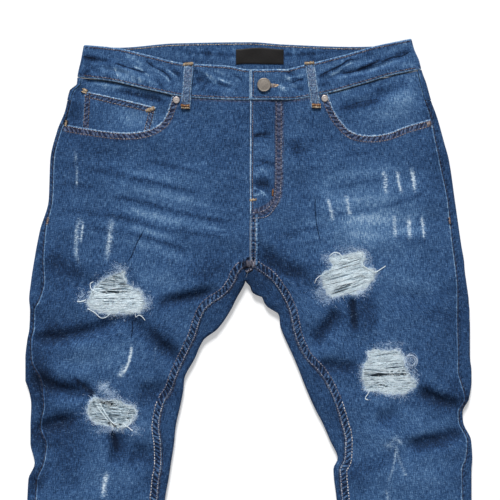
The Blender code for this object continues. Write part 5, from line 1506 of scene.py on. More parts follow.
def stitch_rows():
    """Every row of stitching, on the front, the band and the back."""
    rows = []
    top = across_line(front_top, -204, 203, count=200)
    bottom = across_line(front_bottom, -212, 211, count=200)
    for side in LEGS:
        for line, inset in ((top, -3.0), (bottom, 3.0)):
            near = line[:, 0] * side > (3 if side > 0 else 1)
            rows.append(Row("dark", shifted(line[near], inset), on_band, 1, 3.3))
        pocket = curve(on_side(side, POCKET_EDGES[side]))
        rows += [Row("cream", trimmed(shifted(pocket, side * -2.2), 1, 3), on_front(0.5), 1, 3.2),
                 Row("copper", trimmed(shifted(pocket, side * -8.6), 1, 3), on_front(0.3), 1, 3.4)]
        inseam = side_line(side, "inseam", -6, HEM + 2, 400)
        for start, end, colours in ((0, 0.22, ("lilac", "lilac")), (0.22, 1, ("cream", "worn"))):
            part = inseam[int(start * len(inseam)):int(end * len(inseam))]
            rows += [Row(colours[0], shifted(part, side * 1.3), on_front(0.5), 1, 3.0),
                     Row(colours[1], shifted(part, side * 9.2), on_front(0.45), 1, 3.6)]
        hem = on_side(side, [(164, HEM + 12.5), (325, HEM + 12.5)])
        rows += [Row("copper", trimmed(hem, 10, 10), 0.4, 1, 3.6),
                 Row("copper", trimmed(hem, 6, 6), 0.3, -1, 3.6)]
        rows += [Row("copper", trimmed(shifted(yoke_line(side), side * 3.0), 2, 2), 0.35, -1, 3.5),
                 Row("dark", trimmed(shifted(yoke_line(side), side * 9.0), 2, 2), 0.25, -1, 3.5)]
        low = across_line(back_bottom, side * 4, side * 210)
        high = across_line(back_top, side * 4, side * 203)
        rows += [Row("dark", low + (0, 3.0), 0.25, -1, 3.4), Row("dark", high - (0, 3.0), 0.25, -1, 3.4)]
        for inset, colour in ((2.4, "copper"), (8.4, "dark")):
            edge = shrunk(on_side(side, BACK_POCKET), inset)
            for start, end in zip(edge, np.roll(edge, -1, axis=0)):
                steps = np.linspace(0, 1, 40)[:, None]
                rows.append(Row(colour, start + (end - start) * steps, None, ON_POCKET, 3.5))
    inner = across_line(back_top, -196, 198, -2.6, 160)
    rows += [Row("tan", inner, -(BAND_CLOTH + 0.15), -1, 3.2),
             Row("dark", across_line(back_bottom, -20, 20, 3.4), -(BAND_CLOTH + 0.15), -1, 3.4)]
    end = np.array([(OVERLAP_END + 3.2, 210.5), (OVERLAP_END + 3.2, 243)])
    rows += [Row("dark", end, on_band, 1, 3.3)]
    edge = np.array([(3.4, 204), (3.4, 66)])
    rows.append(Row("dark", edge, on_front(0.25), 1, 2.9))
    for x in (33.2, 39.6):
        higher = (39.6 - x) * 1.1
        fly = curve([(x, 206), (x, 150), (x - 0.5, 100), (x - 3.5, 79), ((x - 3) * 0.62, 60 + higher),
                     (3, 56.5 + higher)])
        rows.append(Row("lilac", fly, on_front(0.25), 1, 3.1))
    for x in (2.2, 6.4):
        seat = np.array([(x, 58), (x, 2)])
        rows.append(Row("lilac", trimmed(seat, 0, 0), on_front(0.45), 1, 3.3))
    for x in (-2.6, 2.6, 8.4):
        rows.append(Row("dark", np.array([(x, 158), (x, -12)]), 0.3, -1, 3.5))
    coin = np.array([COIN_POCKET["top"], COIN_POCKET["bottom"]], float)
    for inset, colour in ((2.2, "dark"), (7.6, "copper")):
        for edge, ends in ((coin[0], 1), (coin[:, 0][::-1], 2), (coin[:, 1], 2)):
            line = trimmed(shifted(edge, -inset), ends, ends)
            rows.append(Row(colour, line, -(CLOTH + SEAM_GAP) + 0.1, 1, 3.2))
    return rows


def shrunk(outline, gap):
    """An outline moved inward by gap."""
    points = np.array(outline, float)
    before, after = np.roll(points, 1, axis=0), np.roll(points, -1, axis=0)
    into = np.sign((points[:, 0] * after[:, 1] - after[:, 0] * points[:, 1]).sum())

    middle = unit(left_of(points - before) * into) + unit(left_of(after - points) * into)
    return points + middle * 2 / np.maximum((middle**2).sum(-1, keepdims=True), 1) * gap


# Bar tacks of each colour: (x, rise) of both ends, width and lift
TACKS = {
    "copper": [(-258.0, 50, -257, 58, 2.4, 0.3), (254.5, 50, 254.0, 58, 2.4, 0.3),
               (225.5, 176.5, 230.5, 178, 5.0, 0.6)],
    "tan": [(-211.5, 217, -209.5, 222, 7, -1.2), (-132.5, 193, -121, 197.5, 4.5, -1.1),
            (-84, 252.0, -72, 253, 3.4, 3.5), (69.5, 253, 81.5, 254, 3.4, 3.5),
            (-1, 79, 8, 80.5, 3.0, 1.6), (-235, 174, -234, 181, 2.6, 0.4),
            (-87, 197.2, -77, 196.8, 1.8, 2.6), (79, 197.8, 89.5, 197.4, 1.8, 2.6)],
    "orange": [(28.8, 85.5, 28.8, 93.5, 1.5, 1.9), (-87.5, 200.2, -76.5, 199.8, 2.6, 2.7),
               (78.5, 200.8, 90, 200.3, 2.6, 2.7)],
}
# The same at the crotch, where the first two only darken the cloth
CROTCH_TACKS = [(-10, -1, -3.5, 1.5, 2.0, 1.0), (-8.5, -6, -3, -3, 2.2, 1.0),
                (-5, -11, 3, -7.4, 2.0, 0.9)]

# Sewing threads: the material's name, and its middle, darkest and lightest colour
THREAD_COLOURS = {
    "dark": ("thread_brown", (0.16, 0.115, 0.115), (0.035, 0.026, 0.036), (0.50, 0.43, 0.42)),
    "cream": ("thread_cream", (0.33, 0.30, 0.34), (0.05, 0.045, 0.06), (0.76, 0.73, 0.75)),
    "worn": ("thread_worn", (0.52, 0.49, 0.50), (0.08, 0.075, 0.09), (0.90, 0.87, 0.85)),
    "lilac": ("thread_lilac", (0.20, 0.195, 0.25), (0.03, 0.03, 0.05), (0.52, 0.50, 0.56)),
    "copper": ("thread_copper", (0.21, 0.155, 0.145), (0.045, 0.035, 0.045), (0.55, 0.46, 0.42)),
    "tan": ("thread_tan", (0.38, 0.28, 0.18), (0.08, 0.055, 0.05), (0.80, 0.70, 0.56)),
    "orange": ("thread_orange", (0.34, 0.16, 0.07), (0.10, 0.05, 0.03), (0.66, 0.42, 0.22)),
}
# Colour of the painted shadow in the needle holes and round the tacks
NEEDLE_SHADOW = (0.012, 0.014, 0.028)


def crotch_block():
    """Doubled stitching where the four seams meet below the fly."""
    random = np.random.default_rng(SEEDS["crotch"])
    across = np.linspace(-3.6, 6.4, 9)[:, None] + random.normal(0, 0.25, (9, 4))
    ends = np.array([3.6, 1.6, -3.2, -5.4]) + random.normal(0, 0.5, (9, 1))
    return lay(across, ends, np.array([0.5, 1.0, 1.0, 0.5]))


def stitching():
    """All rows of stitches, the bar tacks, and dark dots of painted shadow where a needle went in and
    round the tacks.
    """
    random = np.random.default_rng(SEEDS["stitches"])
    made_of = {key: thread_material(*colours) for key, colours in THREAD_COLOURS.items()}
    groups = {colour: [] for colour in made_of}
    holes = []
    for row in stitch_rows():
        if row.face == ON_POCKET:
            paths = stitch_paths(row._replace(face=-1, lift=0.0), random)
            paths[..., 2] = -STITCH_ARCH * 0.8
        else:
            paths = stitch_paths(row, random)
        groups[row.colour].append(paths)
        if row.face == 1:
            holes.append(between_stitches(paths))
    for colour, tacks in TACKS.items():
        groups[colour].append(bar_paths(tacks))
        # A wider, lower dark copy of each tack paints the shadow round it
        holes.append(bar_paths([(*tack[:4], tack[4] + 1.2, tack[5] - 0.35) for tack in tacks]))
    groups["lilac"] += [crotch_block(), bar_paths(CROTCH_TACKS[2:])]
    # and the same painted shadow round the crotch tacks
    holes.append(bar_paths([(*tack[:4], tack[4] + 2.5, tack[5] - 0.3) for tack in CROTCH_TACKS]))
    for colour, paths in groups.items():
        joined = np.concatenate(paths)
        tubes(f"stitches_{colour}", joined, STITCH_RADII[None] * THREAD_SIZE.get(colour, 1),
              made_of[colour], 4, random.uniform(-1, 1, len(joined)))
    # The needle holes' painted shadow, as short dark tubes
    holes = [path[:, [0, -1]] for path in holes]
    tubes("needle_hole_shadows", np.concatenate(holes), 0.5,
          thread_material("needle_hole_shadow", NEEDLE_SHADOW, NEEDLE_SHADOW, (0.03, 0.03, 0.05)), 4)


def thread_material(name, colour, dark, light):
    """Sewing thread: twisted, and uneven in tone from stitch to stitch."""
    g = Graph(name)
    uneven = g.noise(g.own_place(700, 700, 700), 2)
    tone = g.read("shade") * 0.55 + uneven * 1.4
    return g.surface(g.colours(tone, [(-1.0, dark), (0.0, colour), (1.0, light)]), 0.8, specular=0.25)


def fibre_material(name, colour, darker, lighter):
    """Bare cotton: mottled, from its shadowed tone to its brightest."""
    g = Graph(name)
    uneven = g.noise(g.own_place(560, 560, 560), 3)
    tone = g.read("shade") * 0.5 + uneven * 1.7
    # Near-black painted shadow for threads deep in a rip's slits and hollows
    hollow_shadow = tuple(channel * 0.05 for channel in darker)
    stops = [(-2.6, hollow_shadow), (-1.0, darker), (-0.1, colour), (0.9, lighter)]
    return g.surface(g.colours(tone, stops), 0.95)


def wander(random, count, steps, waves=3):
    """Smooth random sideways lines, each about 1 high."""
    along = np.linspace(0, 1, steps)
    out = np.zeros((count, steps))
    for wave in range(1, waves + 1):
        phase = random.uniform(0, 2 * np.pi, (count, 1))
        out += np.sin(2 * np.pi * wave * along * random.uniform(0.6, 1.3, (count, 1)) + phase) / wave
    return out * random.uniform(0.4, 1.0, (count, 1))


def in_shadow(rip, x, rise):
    """How deep in a rip's drawn slits and hollows each place lies, from 0 to about 1."""
    at = np.stack([x, rise], -1)
    dark = np.zeros(np.shape(x))
    for x_start, rise_start, x_end, rise_end, half, depth in THREADS[rip].shadows:
        start = np.array([x_start, rise_start])
        along = np.array([x_end - x_start, rise_end - rise_start])
        share = np.clip((at - start) @ along / (along @ along), 0, 1)
        away = np.linalg.norm(at - start - share[..., None] * along, axis=-1)
        width = half * (0.5 + 0.5 * np.sin(np.pi * share))
        dark = np.maximum(dark, depth * np.exp(-((away / width) ** 2)))
    return dark


# The two layers of a rip's cross threads: number, pitch, height beside the cloth, and radius
LAYERS = ((0, 0.52, -0.4, 0.30), (1, 0.8, -1.1, 0.38))


def rip_threads(rip, number):
    """The bared cross threads of one rip, and the short ends felted over them."""
    random = np.random.default_rng(SEEDS["rip threads"] + number)
    edge, how = RIP_EDGES[rip], THREADS[rip]
    angle = np.radians(how.tilt)
    axis, cross = np.array([np.cos(angle), np.sin(angle)]), np.array([-np.sin(angle), np.cos(angle)])
    middle = edge.mean(0)
    u, v = (edge - middle) @ axis, (edge - middle) @ cross
    slits = [(rise - middle[1], start, end, half) for rise, start, end, half in how.slits]
    strands, radii, shade = [], [], []
    for layer, pitch, low, thick in LAYERS:
        places = np.arange(v.min() + 0.3, v.max(), pitch)
        for place in places + random.normal(0, pitch * 0.45, len(places)):
            start_v, end_v = v, np.roll(v, -1)
            hit = (start_v > place) != (end_v > place)
            if hit.sum() < 2:
                continue
            share = (place - start_v[hit]) / (end_v - start_v)[hit]
            ends = np.sort(u[hit] + share * (np.roll(u, -1) - u)[hit])
            grey = middle[1] + place > how.grey[0]
            for near, far in zip(ends[::2], ends[1::2]):
                if far - near < 2 or (grey and random.random() < how.grey[1]):
                    continue
                strands.append((near - 1.2, far + 1.2, place, low))
                radii.append(thick * random.uniform(0.8, 1.2))
                # The deeper layer of threads is painted darker, as shade
                shade.append(random.normal(1.0 - 0.8 * layer, 0.85) + how.bright - (1.3 if grey else 0))
    strands = np.array(strands)
    steps = 21
    t = np.linspace(0, 1, steps)
    across = strands[:, :1] + (strands[:, 1:2] - strands[:, :1]) * t
    place = strands[:, 2:3] + wander(random, len(strands), steps) * (0.25 + 0.35 * how.tangle)
    place = place - how.sag * (1 - (across / np.abs(u).max()) ** 2)
    for slit, start, end, half in slits:
        window = ramp(across, start - 6, start + 4) * (1 - ramp(across, end - 4, end + 6))
        away = place - slit
        shift = (half + 0.5) * np.exp(-((away / (half * 2 + 1.4)) ** 2)) * window
        place = place + np.where(away > 0, shift, -shift) * random.uniform(0.85, 1.15, (len(strands), 1))
    flat = middle + across[..., None] * axis + place[..., None] * cross
    tucked = np.minimum(ramp(t, 0, 0.1), 1 - ramp(t, 0.9, 1))
    lift = (strands[:, 3:4] + (wander(random, len(strands), steps, 4) * 0.16 + 0.3) * tucked
            - 0.8 * (1 - tucked))
    dark = in_shadow(rip, flat[..., 0], flat[..., 1])
    # Painted shadow lines along stretches of some threads, as between groups of threads
    shadow_lines = np.clip(wander(random, len(strands), steps, 7) - 0.5, 0, 1)
    shadow_lines = shadow_lines * (random.random((len(strands), 1)) < 0.4)
    shade = np.array(shade)[:, None] - 6 * dark - 5 * shadow_lines
    paths = lay(flat[..., 0], flat[..., 1], lift - dark)
    made = tubes(f"cotton_threads_{rip}", paths, np.array(radii)[:, None], bare_cotton, 3, shade)
    declare([f"rip_threads_{rip}"])
    felt(rip, axis, random)
    fringe(rip, random)
    fluff(rip, random)


def curls(start, heading, size, curl, lift, random, steps=6, rise=0.9):
    """Short fibres that wander off from their starts."""
    count = len(start)
    t = np.linspace(0, 1, steps)
    turn = heading[:, None] + curl[:, None] * t * 2 + random.normal(0, 0.16, (count, steps)).cumsum(1)
    step = size[:, None] / (steps - 1)
    none = np.zeros((count, 1))
    x = start[:, :1] + np.concatenate([none, (np.cos(turn[:, :-1]) * step).cumsum(1)], 1)
    away = start[:, 1:] + np.concatenate([none, (np.sin(turn[:, :-1]) * step).cumsum(1)], 1)
    arch = np.sin(np.pi * np.clip(t * 0.8, 0, 1)) * random.uniform(0.1, rise, (count, 1))
    return lay(x, away, lift[:, None] + arch)


def felt(rip, axis, random):
    """Broken cotton ends lying over the cross threads, and longer curls among them."""
    edge, how = RIP_EDGES[rip], THREADS[rip]
    middle, reach = edge.mean(0), (edge.max(0) - edge.min(0)) / 2
    for kind, count, low, high, stray, curl, steps in (
            ("felt", int(how.felt * 4 * reach[0] * reach[1]), 3, 11, 0.18, 0.25, 6),
            ("curls", int(60 + 90 * how.tangle), 5, 14, 0.45, 0.9, 10)):
        start = middle + random.uniform(-1, 1, (count, 2)) * reach
        kept = inside(edge, start[:, 0], start[:, 1])
        kept &= (start[:, 1] < how.grey[0]) | (random.random(count) < 0.3)
        start, count = start[kept], int(kept.sum())
        heading = np.arctan2(axis[1], axis[0]) + random.normal(0, stray * (0.6 + 0.5 * how.tangle), count)
        heading += np.pi * (random.random(count) < 0.5)
        paths = curls(start, heading, random.uniform(low, high, count),
                      random.normal(0, curl * (0.5 + 0.6 * how.tangle), count),
                      random.uniform(-0.5, 0.1, count), random, steps, 0.6)
        x, rise = paths[..., 0], paths[..., 1] + MIDDLE_RISE
        kept = inside(edge, x[:, -1], rise[:, -1]) | (random.random(count) < 0.12)
        dark = in_shadow(rip, x, rise)
        crossing = dark.max(1) < 0.35
        dark[random.random(count) < (0.5 if kind == "curls" else 0.04)] = 0
        kept &= crossing | (dark.max(1) == 0)
        shade = random.normal(0.7 + how.bright, 1.0, count) - 1.2 * (start[:, 1] > how.grey[0])
        shade = shade[:, None] - 5 * dark
        if kind == "curls":
            paths, shade, kept = bridges(rip, paths, shade, kept, random)
            count = len(paths)
        thick = (0.14, 0.26) if kind == "felt" else (0.18, 0.32)
        tubes(f"{kind}_{rip}", paths[kept], random.uniform(*thick, (kept.sum(), 1)) * np.ones(steps),
              bare_cotton, 3, shade[kept])


def bridges(rip, paths, shade, kept, random):
    """Bright curls over the deep slits, added to the curls that are there already."""
    deep = np.array([shadow for shadow in THREADS[rip].shadows if shadow[5] > 0.85])
    pick = random.integers(0, len(deep), int(len(deep) * 2.2 * THREADS[rip].tangle))
    share = random.random((len(pick), 1))
    start = deep[pick, :2] * (1 - share) + deep[pick, 2:4] * share + random.normal(0, 1.2, (len(pick), 2))
    added = curls(start, random.uniform(0, 2 * np.pi, len(pick)), random.uniform(2.5, 6, len(pick)),
                  random.normal(0, 1.8, len(pick)), random.uniform(-0.3, 0.1, len(pick)), random,
                  paths.shape[1], 0.5)
    bright = np.broadcast_to(random.normal(1.4, 0.4, (len(pick), 1)), added.shape[:2])
    return (np.concatenate([paths, added]), np.concatenate([shade, bright]),
            np.concatenate([kept, np.full(len(pick), True)]))


def edge_places(rip, count, random):
    """Places round a rip's edge, more of them in some stretches, with the direction into the rip."""
    edge = RIP_EDGES[rip]
    along = np.roll(edge, -1, axis=0) - edge
    length = np.linalg.norm(along, axis=1)
    walk = np.cumsum(length)
    clump = sum(np.sin(walk / scale + random.uniform(0, PHASES)) for scale in (1.3, 2.6, 5.5, 11)) / 2
    weight = length * np.clip(0.55 + clump, 0.06, 2)
    piece = random.choice(len(edge), count, p=weight / weight.sum())
    start = edge[piece] + along[piece] * random.random((count, 1))
    into = np.sign((edge[:, 0] * np.roll(edge[:, 1], -1) - np.roll(edge[:, 0], -1) * edge[:, 1]).sum())
    return start, left_of(along)[piece] / length[piece, None] * into


def fringe(rip, random):
    """Torn fibres all round a rip, out over the cloth and in over the hole, and long blue ones."""
    edge = RIP_EDGES[rip]
    around = np.linalg.norm(np.roll(edge, -1, axis=0) - edge, axis=1).sum()
    count = int(around * 4)
    start, normal = edge_places(rip, count, random)
    outward = random.random(count) < 0.45
    sideways = np.abs(normal[:, 0])
    start = start - normal * np.where(outward, -0.8, 1.0)[:, None] * random.random((count, 1))
    heading = np.arctan2(normal[:, 1], normal[:, 0]) + np.where(outward, np.pi, 0)
    heading += random.normal(0, 0.8, count)
    size = (random.gamma(1.8, 1.2, count) + 0.6) * np.where(outward, 0.4 + 0.55 * sideways, 1.0)
    paths = curls(start, heading, size, random.normal(0, 0.8, count), np.full(count, 0.05), random,
                  5, 0.6)
    radii = random.uniform(0.09, 0.20, (count, 1)) * np.array([1, 1, 0.9, 0.75, 0.3])
    tubes(f"fringe_{rip}", paths, radii, bare_cotton, 3, random.normal(-0.1, 0.6, count))
    count, steps = 54, 12
    start, normal = edge_places(rip, count, random)
    start = start - normal * random.uniform(-0.8, 1.6, (count, 1))
    heading = np.arctan2(-normal[:, 1], -normal[:, 0]) + random.normal(0, 0.9, count)
    paths = curls(start, heading, random.uniform(3.0, 8.0, count), random.normal(0, 2.4, count),
                  np.full(count, 0.05), random, steps, 0.7)
    tubes(f"ragged_{rip}", paths, random.uniform(0.15, 0.26, (count, 1)) * np.ones(steps), blue_lint, 3,
          random.normal(1.1, 0.6, count))


RIP_LINT, PATCH_LINT = 520, 70         # fibres round a rip, and in each pale patch by it
PATCH_NEAR = 16


def fluff(rip, random):
    """Pale blue lint rubbed up from the cloth round a rip."""
    start, normal = edge_places(rip, RIP_LINT, random)
    start = start - normal * random.gamma(1.4, 1.9, (RIP_LINT, 1))
    for patch in PATCHES:
        if np.linalg.norm(RIP_EDGES[rip] - patch[:2], axis=1).min() < PATCH_NEAR:
            spread = (patch.reach_x / 1.7, patch.reach_rise / 1.7)
            start = np.concatenate([start, random.normal(patch[:2], spread, (PATCH_LINT, 2))])
    count = len(start)
    paths = curls(start, random.uniform(0, 2 * np.pi, count), random.uniform(1.5, 4.5, count),
                  random.normal(0, 1.6, count), np.full(count, 0.05), random, 5, 0.5)
    radii = random.uniform(0.07, 0.15, (count, 1)) * np.array([0.6, 1, 1, 0.8, 0.4])
    tubes(f"fluff_{rip}", paths, radii, blue_lint, 3, random.normal(0, 0.6, count))


def loose_threads():
    """A few long threads that have come away, and a ring of lint beside the left knee."""
    paths = []
    for points in LOOSE_THREADS:
        line = curve(points, 0.8)
        line = points_at(line, np.arange(len(line)), np.linspace(0, len(line) - 1, 34))
        for strand in range(2):
            near = line + (0.1 * strand, 0.5 * strand, 0.15 * strand)
            paths.append(lay(near[:, 0], near[:, 1], near[:, 2]))
    tubes("threads_loose", np.array(paths), 0.31, bare_cotton, 4, np.full(len(paths), 0.9))
    random = np.random.default_rng(SEEDS["lint ring"])
    count = steps = 16
    turn = random.uniform(0, PHASES, (count, 1)) + np.linspace(0, 3.2, steps)
    reach = random.uniform(4, 9, (count, 1)) + wander(random, count, steps) * 0.8
    ring = lay(204.5 + reach * np.cos(turn), -124 + 1.1 * reach * np.sin(turn), 0.3)
    tubes("lint_ring", ring, 0.17, blue_lint, 3, random.normal(0.6, 0.6, count))


LOOP_ROWS = []           # lines of points along the belt loops, for their stitching
LOOP_PITCH = 3.2


def front_loop(side):
    """A belt loop: it lies on the band, arched clear of it, and ends on the front below."""
    (x_top, rise_top), (x_low, rise_low) = FRONT_LOOPS[side]
    along = np.linspace(0, 1, 54)
    place = np.linspace(-0.5, 0.5, 13)
    width = LOOP_WIDTH * (1 + 0.03 * np.sin(9 * along[:, None]))
    x = x_top + (x_low - x_top) * along[:, None] + place * width
    rise = rise_top + (rise_low - rise_top) * along[:, None] + 0 * x
    points, _ = form(x, rise)
    over_band = ramp(rise, front_bottom(x) - 7, front_bottom(x) - 1)
    arch = LOOP_ARCH * np.sin(np.pi * np.clip(along / 0.8, 0, 1))[:, None]
    under = points[..., 2] + BAND_PROUD * over_band + 1.5 * SEAM_GAP + arch
    under = np.broadcast_to(under.max(axis=1, keepdims=True), under.shape)
    over = under + LOOP_CLOTH - 0.75 * np.abs(2 * place) ** 6 + 0.12 * np.cos(np.pi * 4 * place)
    outer, inner = points.copy(), points.copy()
    outer[..., 2], inner[..., 2] = over, under
    gap = LOOP_WIDTH / 2 - np.abs(place) * LOOP_WIDTH + 0 * x
    none = np.zeros(x.shape)
    seam = {"gap": gap, "run": rise - rise.min(), "rope": none + 0.1, "rim": none + 0.45,
            "stain": none + 0.8}
    random = np.random.default_rng(SEEDS["front loops"] + side)
    fields = denim_fields(x, rise, np.ones(x.shape), outer[..., 2], seam)
    fields["tone"] = none + 0.52 - 0.3 * np.abs(2 * place) ** 3 + random.normal(0, 0.42, x.shape)
    fields["pale"], fields["pinch_shade_on"] = none + 0.30, none
    name = SIDE_NAMES[side]
    made = wall(f"denim_belt_loop_front_{name}", outer, inner, none + FAR, denim, fields)
    declare([f"belt_loop_front_{name}"])
    LOOP_ROWS.extend([outer[:, 2], outer[:, 10]])


def loop_stitches():
    """The two rows of stitching that run down each belt loop."""
    random = np.random.default_rng(SEEDS["loop stitches"])
    paths = []
    for line in LOOP_ROWS:
        length = walked(line)
        count = int(length[-1] / LOOP_PITCH)
        at = ((np.arange(count) + 0.15) * LOOP_PITCH)[:, None] + STITCH_SHARES * 0.7 * LOOP_PITCH
        points = points_at(line, length, at)
        down = -1 if line[0, 2] < 3 else 1
        points[..., 2] += down * np.array([-0.3, 0.2, 0.2, -0.3])
        paths.append(points)
    paths = np.concatenate(paths)
    made_of = thread_material("thread_loops", (0.10, 0.085, 0.10), (0.03, 0.025, 0.035),
                              (0.40, 0.37, 0.38))
    tubes("stitches_loops", paths, STITCH_RADII[None] * 0.7, made_of, 4,
          random.uniform(-1, 1, len(paths)))


def flat_piece(name, grid, high, node, seams, tone):
    """A flat cloth piece that lies on the floor with its right side down."""
    x, rise = grid[..., 0], grid[..., 1]
    seam = seam_fields(x, rise, seams)
    outer = np.stack([x, rise - MIDDLE_RISE, 0.02 + seam["roll"] * 0.6], -1)
    inner = np.stack([x, rise - MIDDLE_RISE, np.full(x.shape, high)], -1)
    fields = denim_fields(x, rise, -np.ones(x.shape), outer[..., 2], seam, darker=tone)
    made = wall(name, outer, inner, np.full(x.shape, FAR), denim, fields)
    declare([node])
    return outer


def back_loop(name, x):
    """A belt loop of the back, pressed flat under the band."""
    top = float(back_top(x)) - 1
    across, down = np.meshgrid(np.linspace(-6, 6, 11), np.linspace(0, BACK_LOOP_LENGTH, 44))
    grid = np.stack([x + across, top - down], -1)
    edges = [Seam(np.array([(x + way, top), (x + way, top - BACK_LOOP_LENGTH)]), 3, 0.35, 0.9, 0.15,
                  0.8, 0) for way in (-6, 6)]
    outer = flat_piece(f"denim_belt_loop_{name}", grid, LOOP_CLOTH, f"belt_loop_{name}",
                       edges, 0.4)
    LOOP_ROWS.extend([outer[:, 2], outer[:, 8]])


def back_pocket(side):
    """A five-sided patch pocket under the seat, with a doubled top hem."""
    (x0, r0), (x1, r1), (x2, r2), (x3, r3), (x4, r4) = BACK_POCKET
    u, w = np.linspace(0, 1, 48), np.linspace(0, 1, 50)[:, None]
    top = np.stack([x0 + (x1 - x0) * u, r0 + (r1 - r0) * u], -1)
    low_x = x4 + (x2 - x4) * u
    low = np.stack([low_x, np.interp(low_x, (x4, x3, x2), (r4, r3, r2))], -1)
    grid = (top[None] * (1 - w[..., None]) + low[None] * w[..., None]) * (side, 1)
    outline = on_side(side, BACK_POCKET + BACK_POCKET[:1])
    hem = Seam(outline[:2], 16.0, 0.7, 1.1, 0.3, 0.7, 0)
    rest = [Seam(outline[i:i + 2], 9.0, 0.6, 0.9, 0.35, 0.7, 0) for i in range(1, 5)]
    name = SIDE_NAMES[side]
    flat_piece(f"denim_back_pocket_{name}", grid, SEAT_LIFT - SEAM_GAP, f"back_pocket_{name}",
               [hem] + rest, 0.05)


def turned(name, x, rise, base, profile, made_of, segments=64, wave=None):
    """A round piece from (radius, height) pairs, from its foot to the middle of its face."""
    profile = curve(profile, 0.22)
    turn = 2 * np.pi * np.arange(segments) / segments
    radius, height = profile[:, :1] + 0 * turn, profile[:, 1:] + 0 * turn
    if wave is not None:
        height = height + wave(radius, turn)
    points = np.stack([x + radius * np.cos(turn), rise - MIDDLE_RISE + radius * np.sin(turn),
                       base + height], -1).reshape(-1, 3)
    index = np.arange(len(points)).reshape(radius.shape)
    after = np.roll(index, -1, axis=1)
    faces = np.stack([index[:-1], after[:-1], after[1:], index[1:]], -1).reshape(-1, 4).tolist()
    faces += [index[0, ::-1].tolist(), index[-1].tolist()]
    return new_object(name, points, faces, made_of, 45)


def seat_height(x, rise, radius, proud):
    """Height of the highest cloth under a round piece."""
    turn = np.radians(np.arange(0, 360, 30))
    xs = np.append(x + radius * np.cos(turn), x)
    rises = np.append(rise + radius * np.sin(turn), rise)
    points, _ = form(xs, rises)
    return float(points[:, 2].max()) + proud


def hardware():
    """The button, the two rivets and the thread of the buttonhole."""
    button_metal = metal_material("antique_metal", (0.37, 0.33, 0.29), 0.55)
    rivet_metal = metal_material("pale_metal", (0.64, 0.58, 0.55), 0.5)
    x, rise, r = BUTTON["x"], BUTTON["rise"], BUTTON["radius"]
    lap = BAND_PROUD + BAND_CLOTH + SEAM_GAP
    base = seat_height(x, rise, 3.5, lap) + SEAM_GAP
    profile = [(3.5, 0), (3.5, 1.3), (0.88 * r, 1.4), (0.97 * r, 1.7), (r, 2.3), (0.98 * r, 2.9),
               (0.94 * r, 3.15), (0.89 * r, 3.2), (0.85 * r, 3.1), (0.8 * r, 3.06), (0.6 * r, 3.16),
               (0.3 * r, 3.28), (0.02 * r, 3.32)]

    def hammered(radius, turn):
        return 0.03 * np.sin(7 * turn + radius * 2.3) * (radius < 0.66 * BUTTON["radius"])

    made = turned("metal_button", x, rise, base, profile, button_metal, wave=hammered)
    declare(["waist_button"])
    for side in LEGS:
        x, rise = RIVETS[side]
        base = seat_height(x, rise, RIVET_RADIUS, 0.55) + SEAM_GAP
        r = RIVET_RADIUS
        profile = [(r, 0), (1.02 * r, 0.3), (0.98 * r, 0.65), (0.88 * r, 0.88), (0.7 * r, 0.94),
                   (0.5 * r, 0.9), (0.36 * r, 0.92), (0.2 * r, 1.04), (0.03 * r, 1.08)]
        made = turned(f"metal_rivet_{SIDE_NAMES[side]}", x, rise, base, profile, rivet_metal, 40)
        declare([f"rivet_{SIDE_NAMES[side]}"])
    turn = np.linspace(0, 2 * np.pi, 40, endpoint=False)
    hole_x, hole_rise = 24.5 + 11 * np.cos(turn), 225.4 + 1.4 * np.sin(turn)
    out = np.stack([np.cos(turn) * 1.2, np.sin(turn) * 1.8], -1)
    flat = np.stack([hole_x, hole_rise], -1)[:, None] + out[:, None] * ACROSS_STITCH
    paths = lay(flat[..., 0], flat[..., 1], lap - 0.5 + np.array([-0.2, 0.5, 0.5, -0.2]))
    made_of = thread_material("thread_buttonhole", (0.62, 0.44, 0.28), (0.30, 0.16, 0.08),
                              (0.86, 0.76, 0.62))
    tubes("stitches_buttonhole", paths, STITCH_RADII[None], made_of, 4, np.sin(turn * 7))


def metal_material(name, colour, roughness):
    """Brushed, slightly tarnished metal."""
    g = Graph(name)
    uneven = g.noise(g.own_place(700, 700, 700), 3)
    dark = tuple(channel * 0.6 for channel in colour)
    return g.surface(g.colours(uneven, [(-0.35, dark), (0.25, colour)]),
                     g.math("ADD", uneven * 0.25, roughness), uneven * 0.05, 1.0)


def waist_label():
    """The blank woven label on the inside of the back band."""
    (left, right), (bottom, top) = LABEL["x"], LABEL["rise"]
    across, down = np.meshgrid(np.linspace(left, right, 60), np.linspace(top, bottom, 22))
    low = SEAT_LIFT + BAND_CLOTH + SEAM_GAP
    edge = np.minimum(np.minimum(across - left, right - across), np.minimum(top - down, down - bottom))
    wave = 0.22 * np.sin(across * 0.16 + 1) * np.sin(down * 0.21)
    high = low + LABEL["cloth"] + wave - 0.5 * (1 - np.clip(edge / 1.6, 0, 1)) ** 2
    share = (across - left) / (right - left)
    bowed = down + 1.3 * np.sin(np.pi * share) - 0.8 + 0.5 * np.sin(7 * share + 0.2 * down)
    outer = np.stack([across, bowed - MIDDLE_RISE, high], -1)
    inner = np.stack([across, bowed - MIDDLE_RISE, low + 0 * across], -1)
    made = wall("satin_label", outer, inner, np.full(across.shape, FAR), satin_material(),
                {"edge": edge})
    declare(["waist_label"])


def satin_material():
    """Black woven satin, a little lighter along its selvedge."""
    g = Graph("label_satin")
    weave = g.noise(g.own_place(260, 1900, 1), 2)
    colour = g.colours(weave + g.read("edge").ramp(0.3, 1.6, 0.25, 0.0),
                       [(-0.4, (0.003, 0.003, 0.003)), (0.4, (0.018, 0.016, 0.016))])
    return g.surface(colour, 0.55, weave * 0.06, specular=0.2)


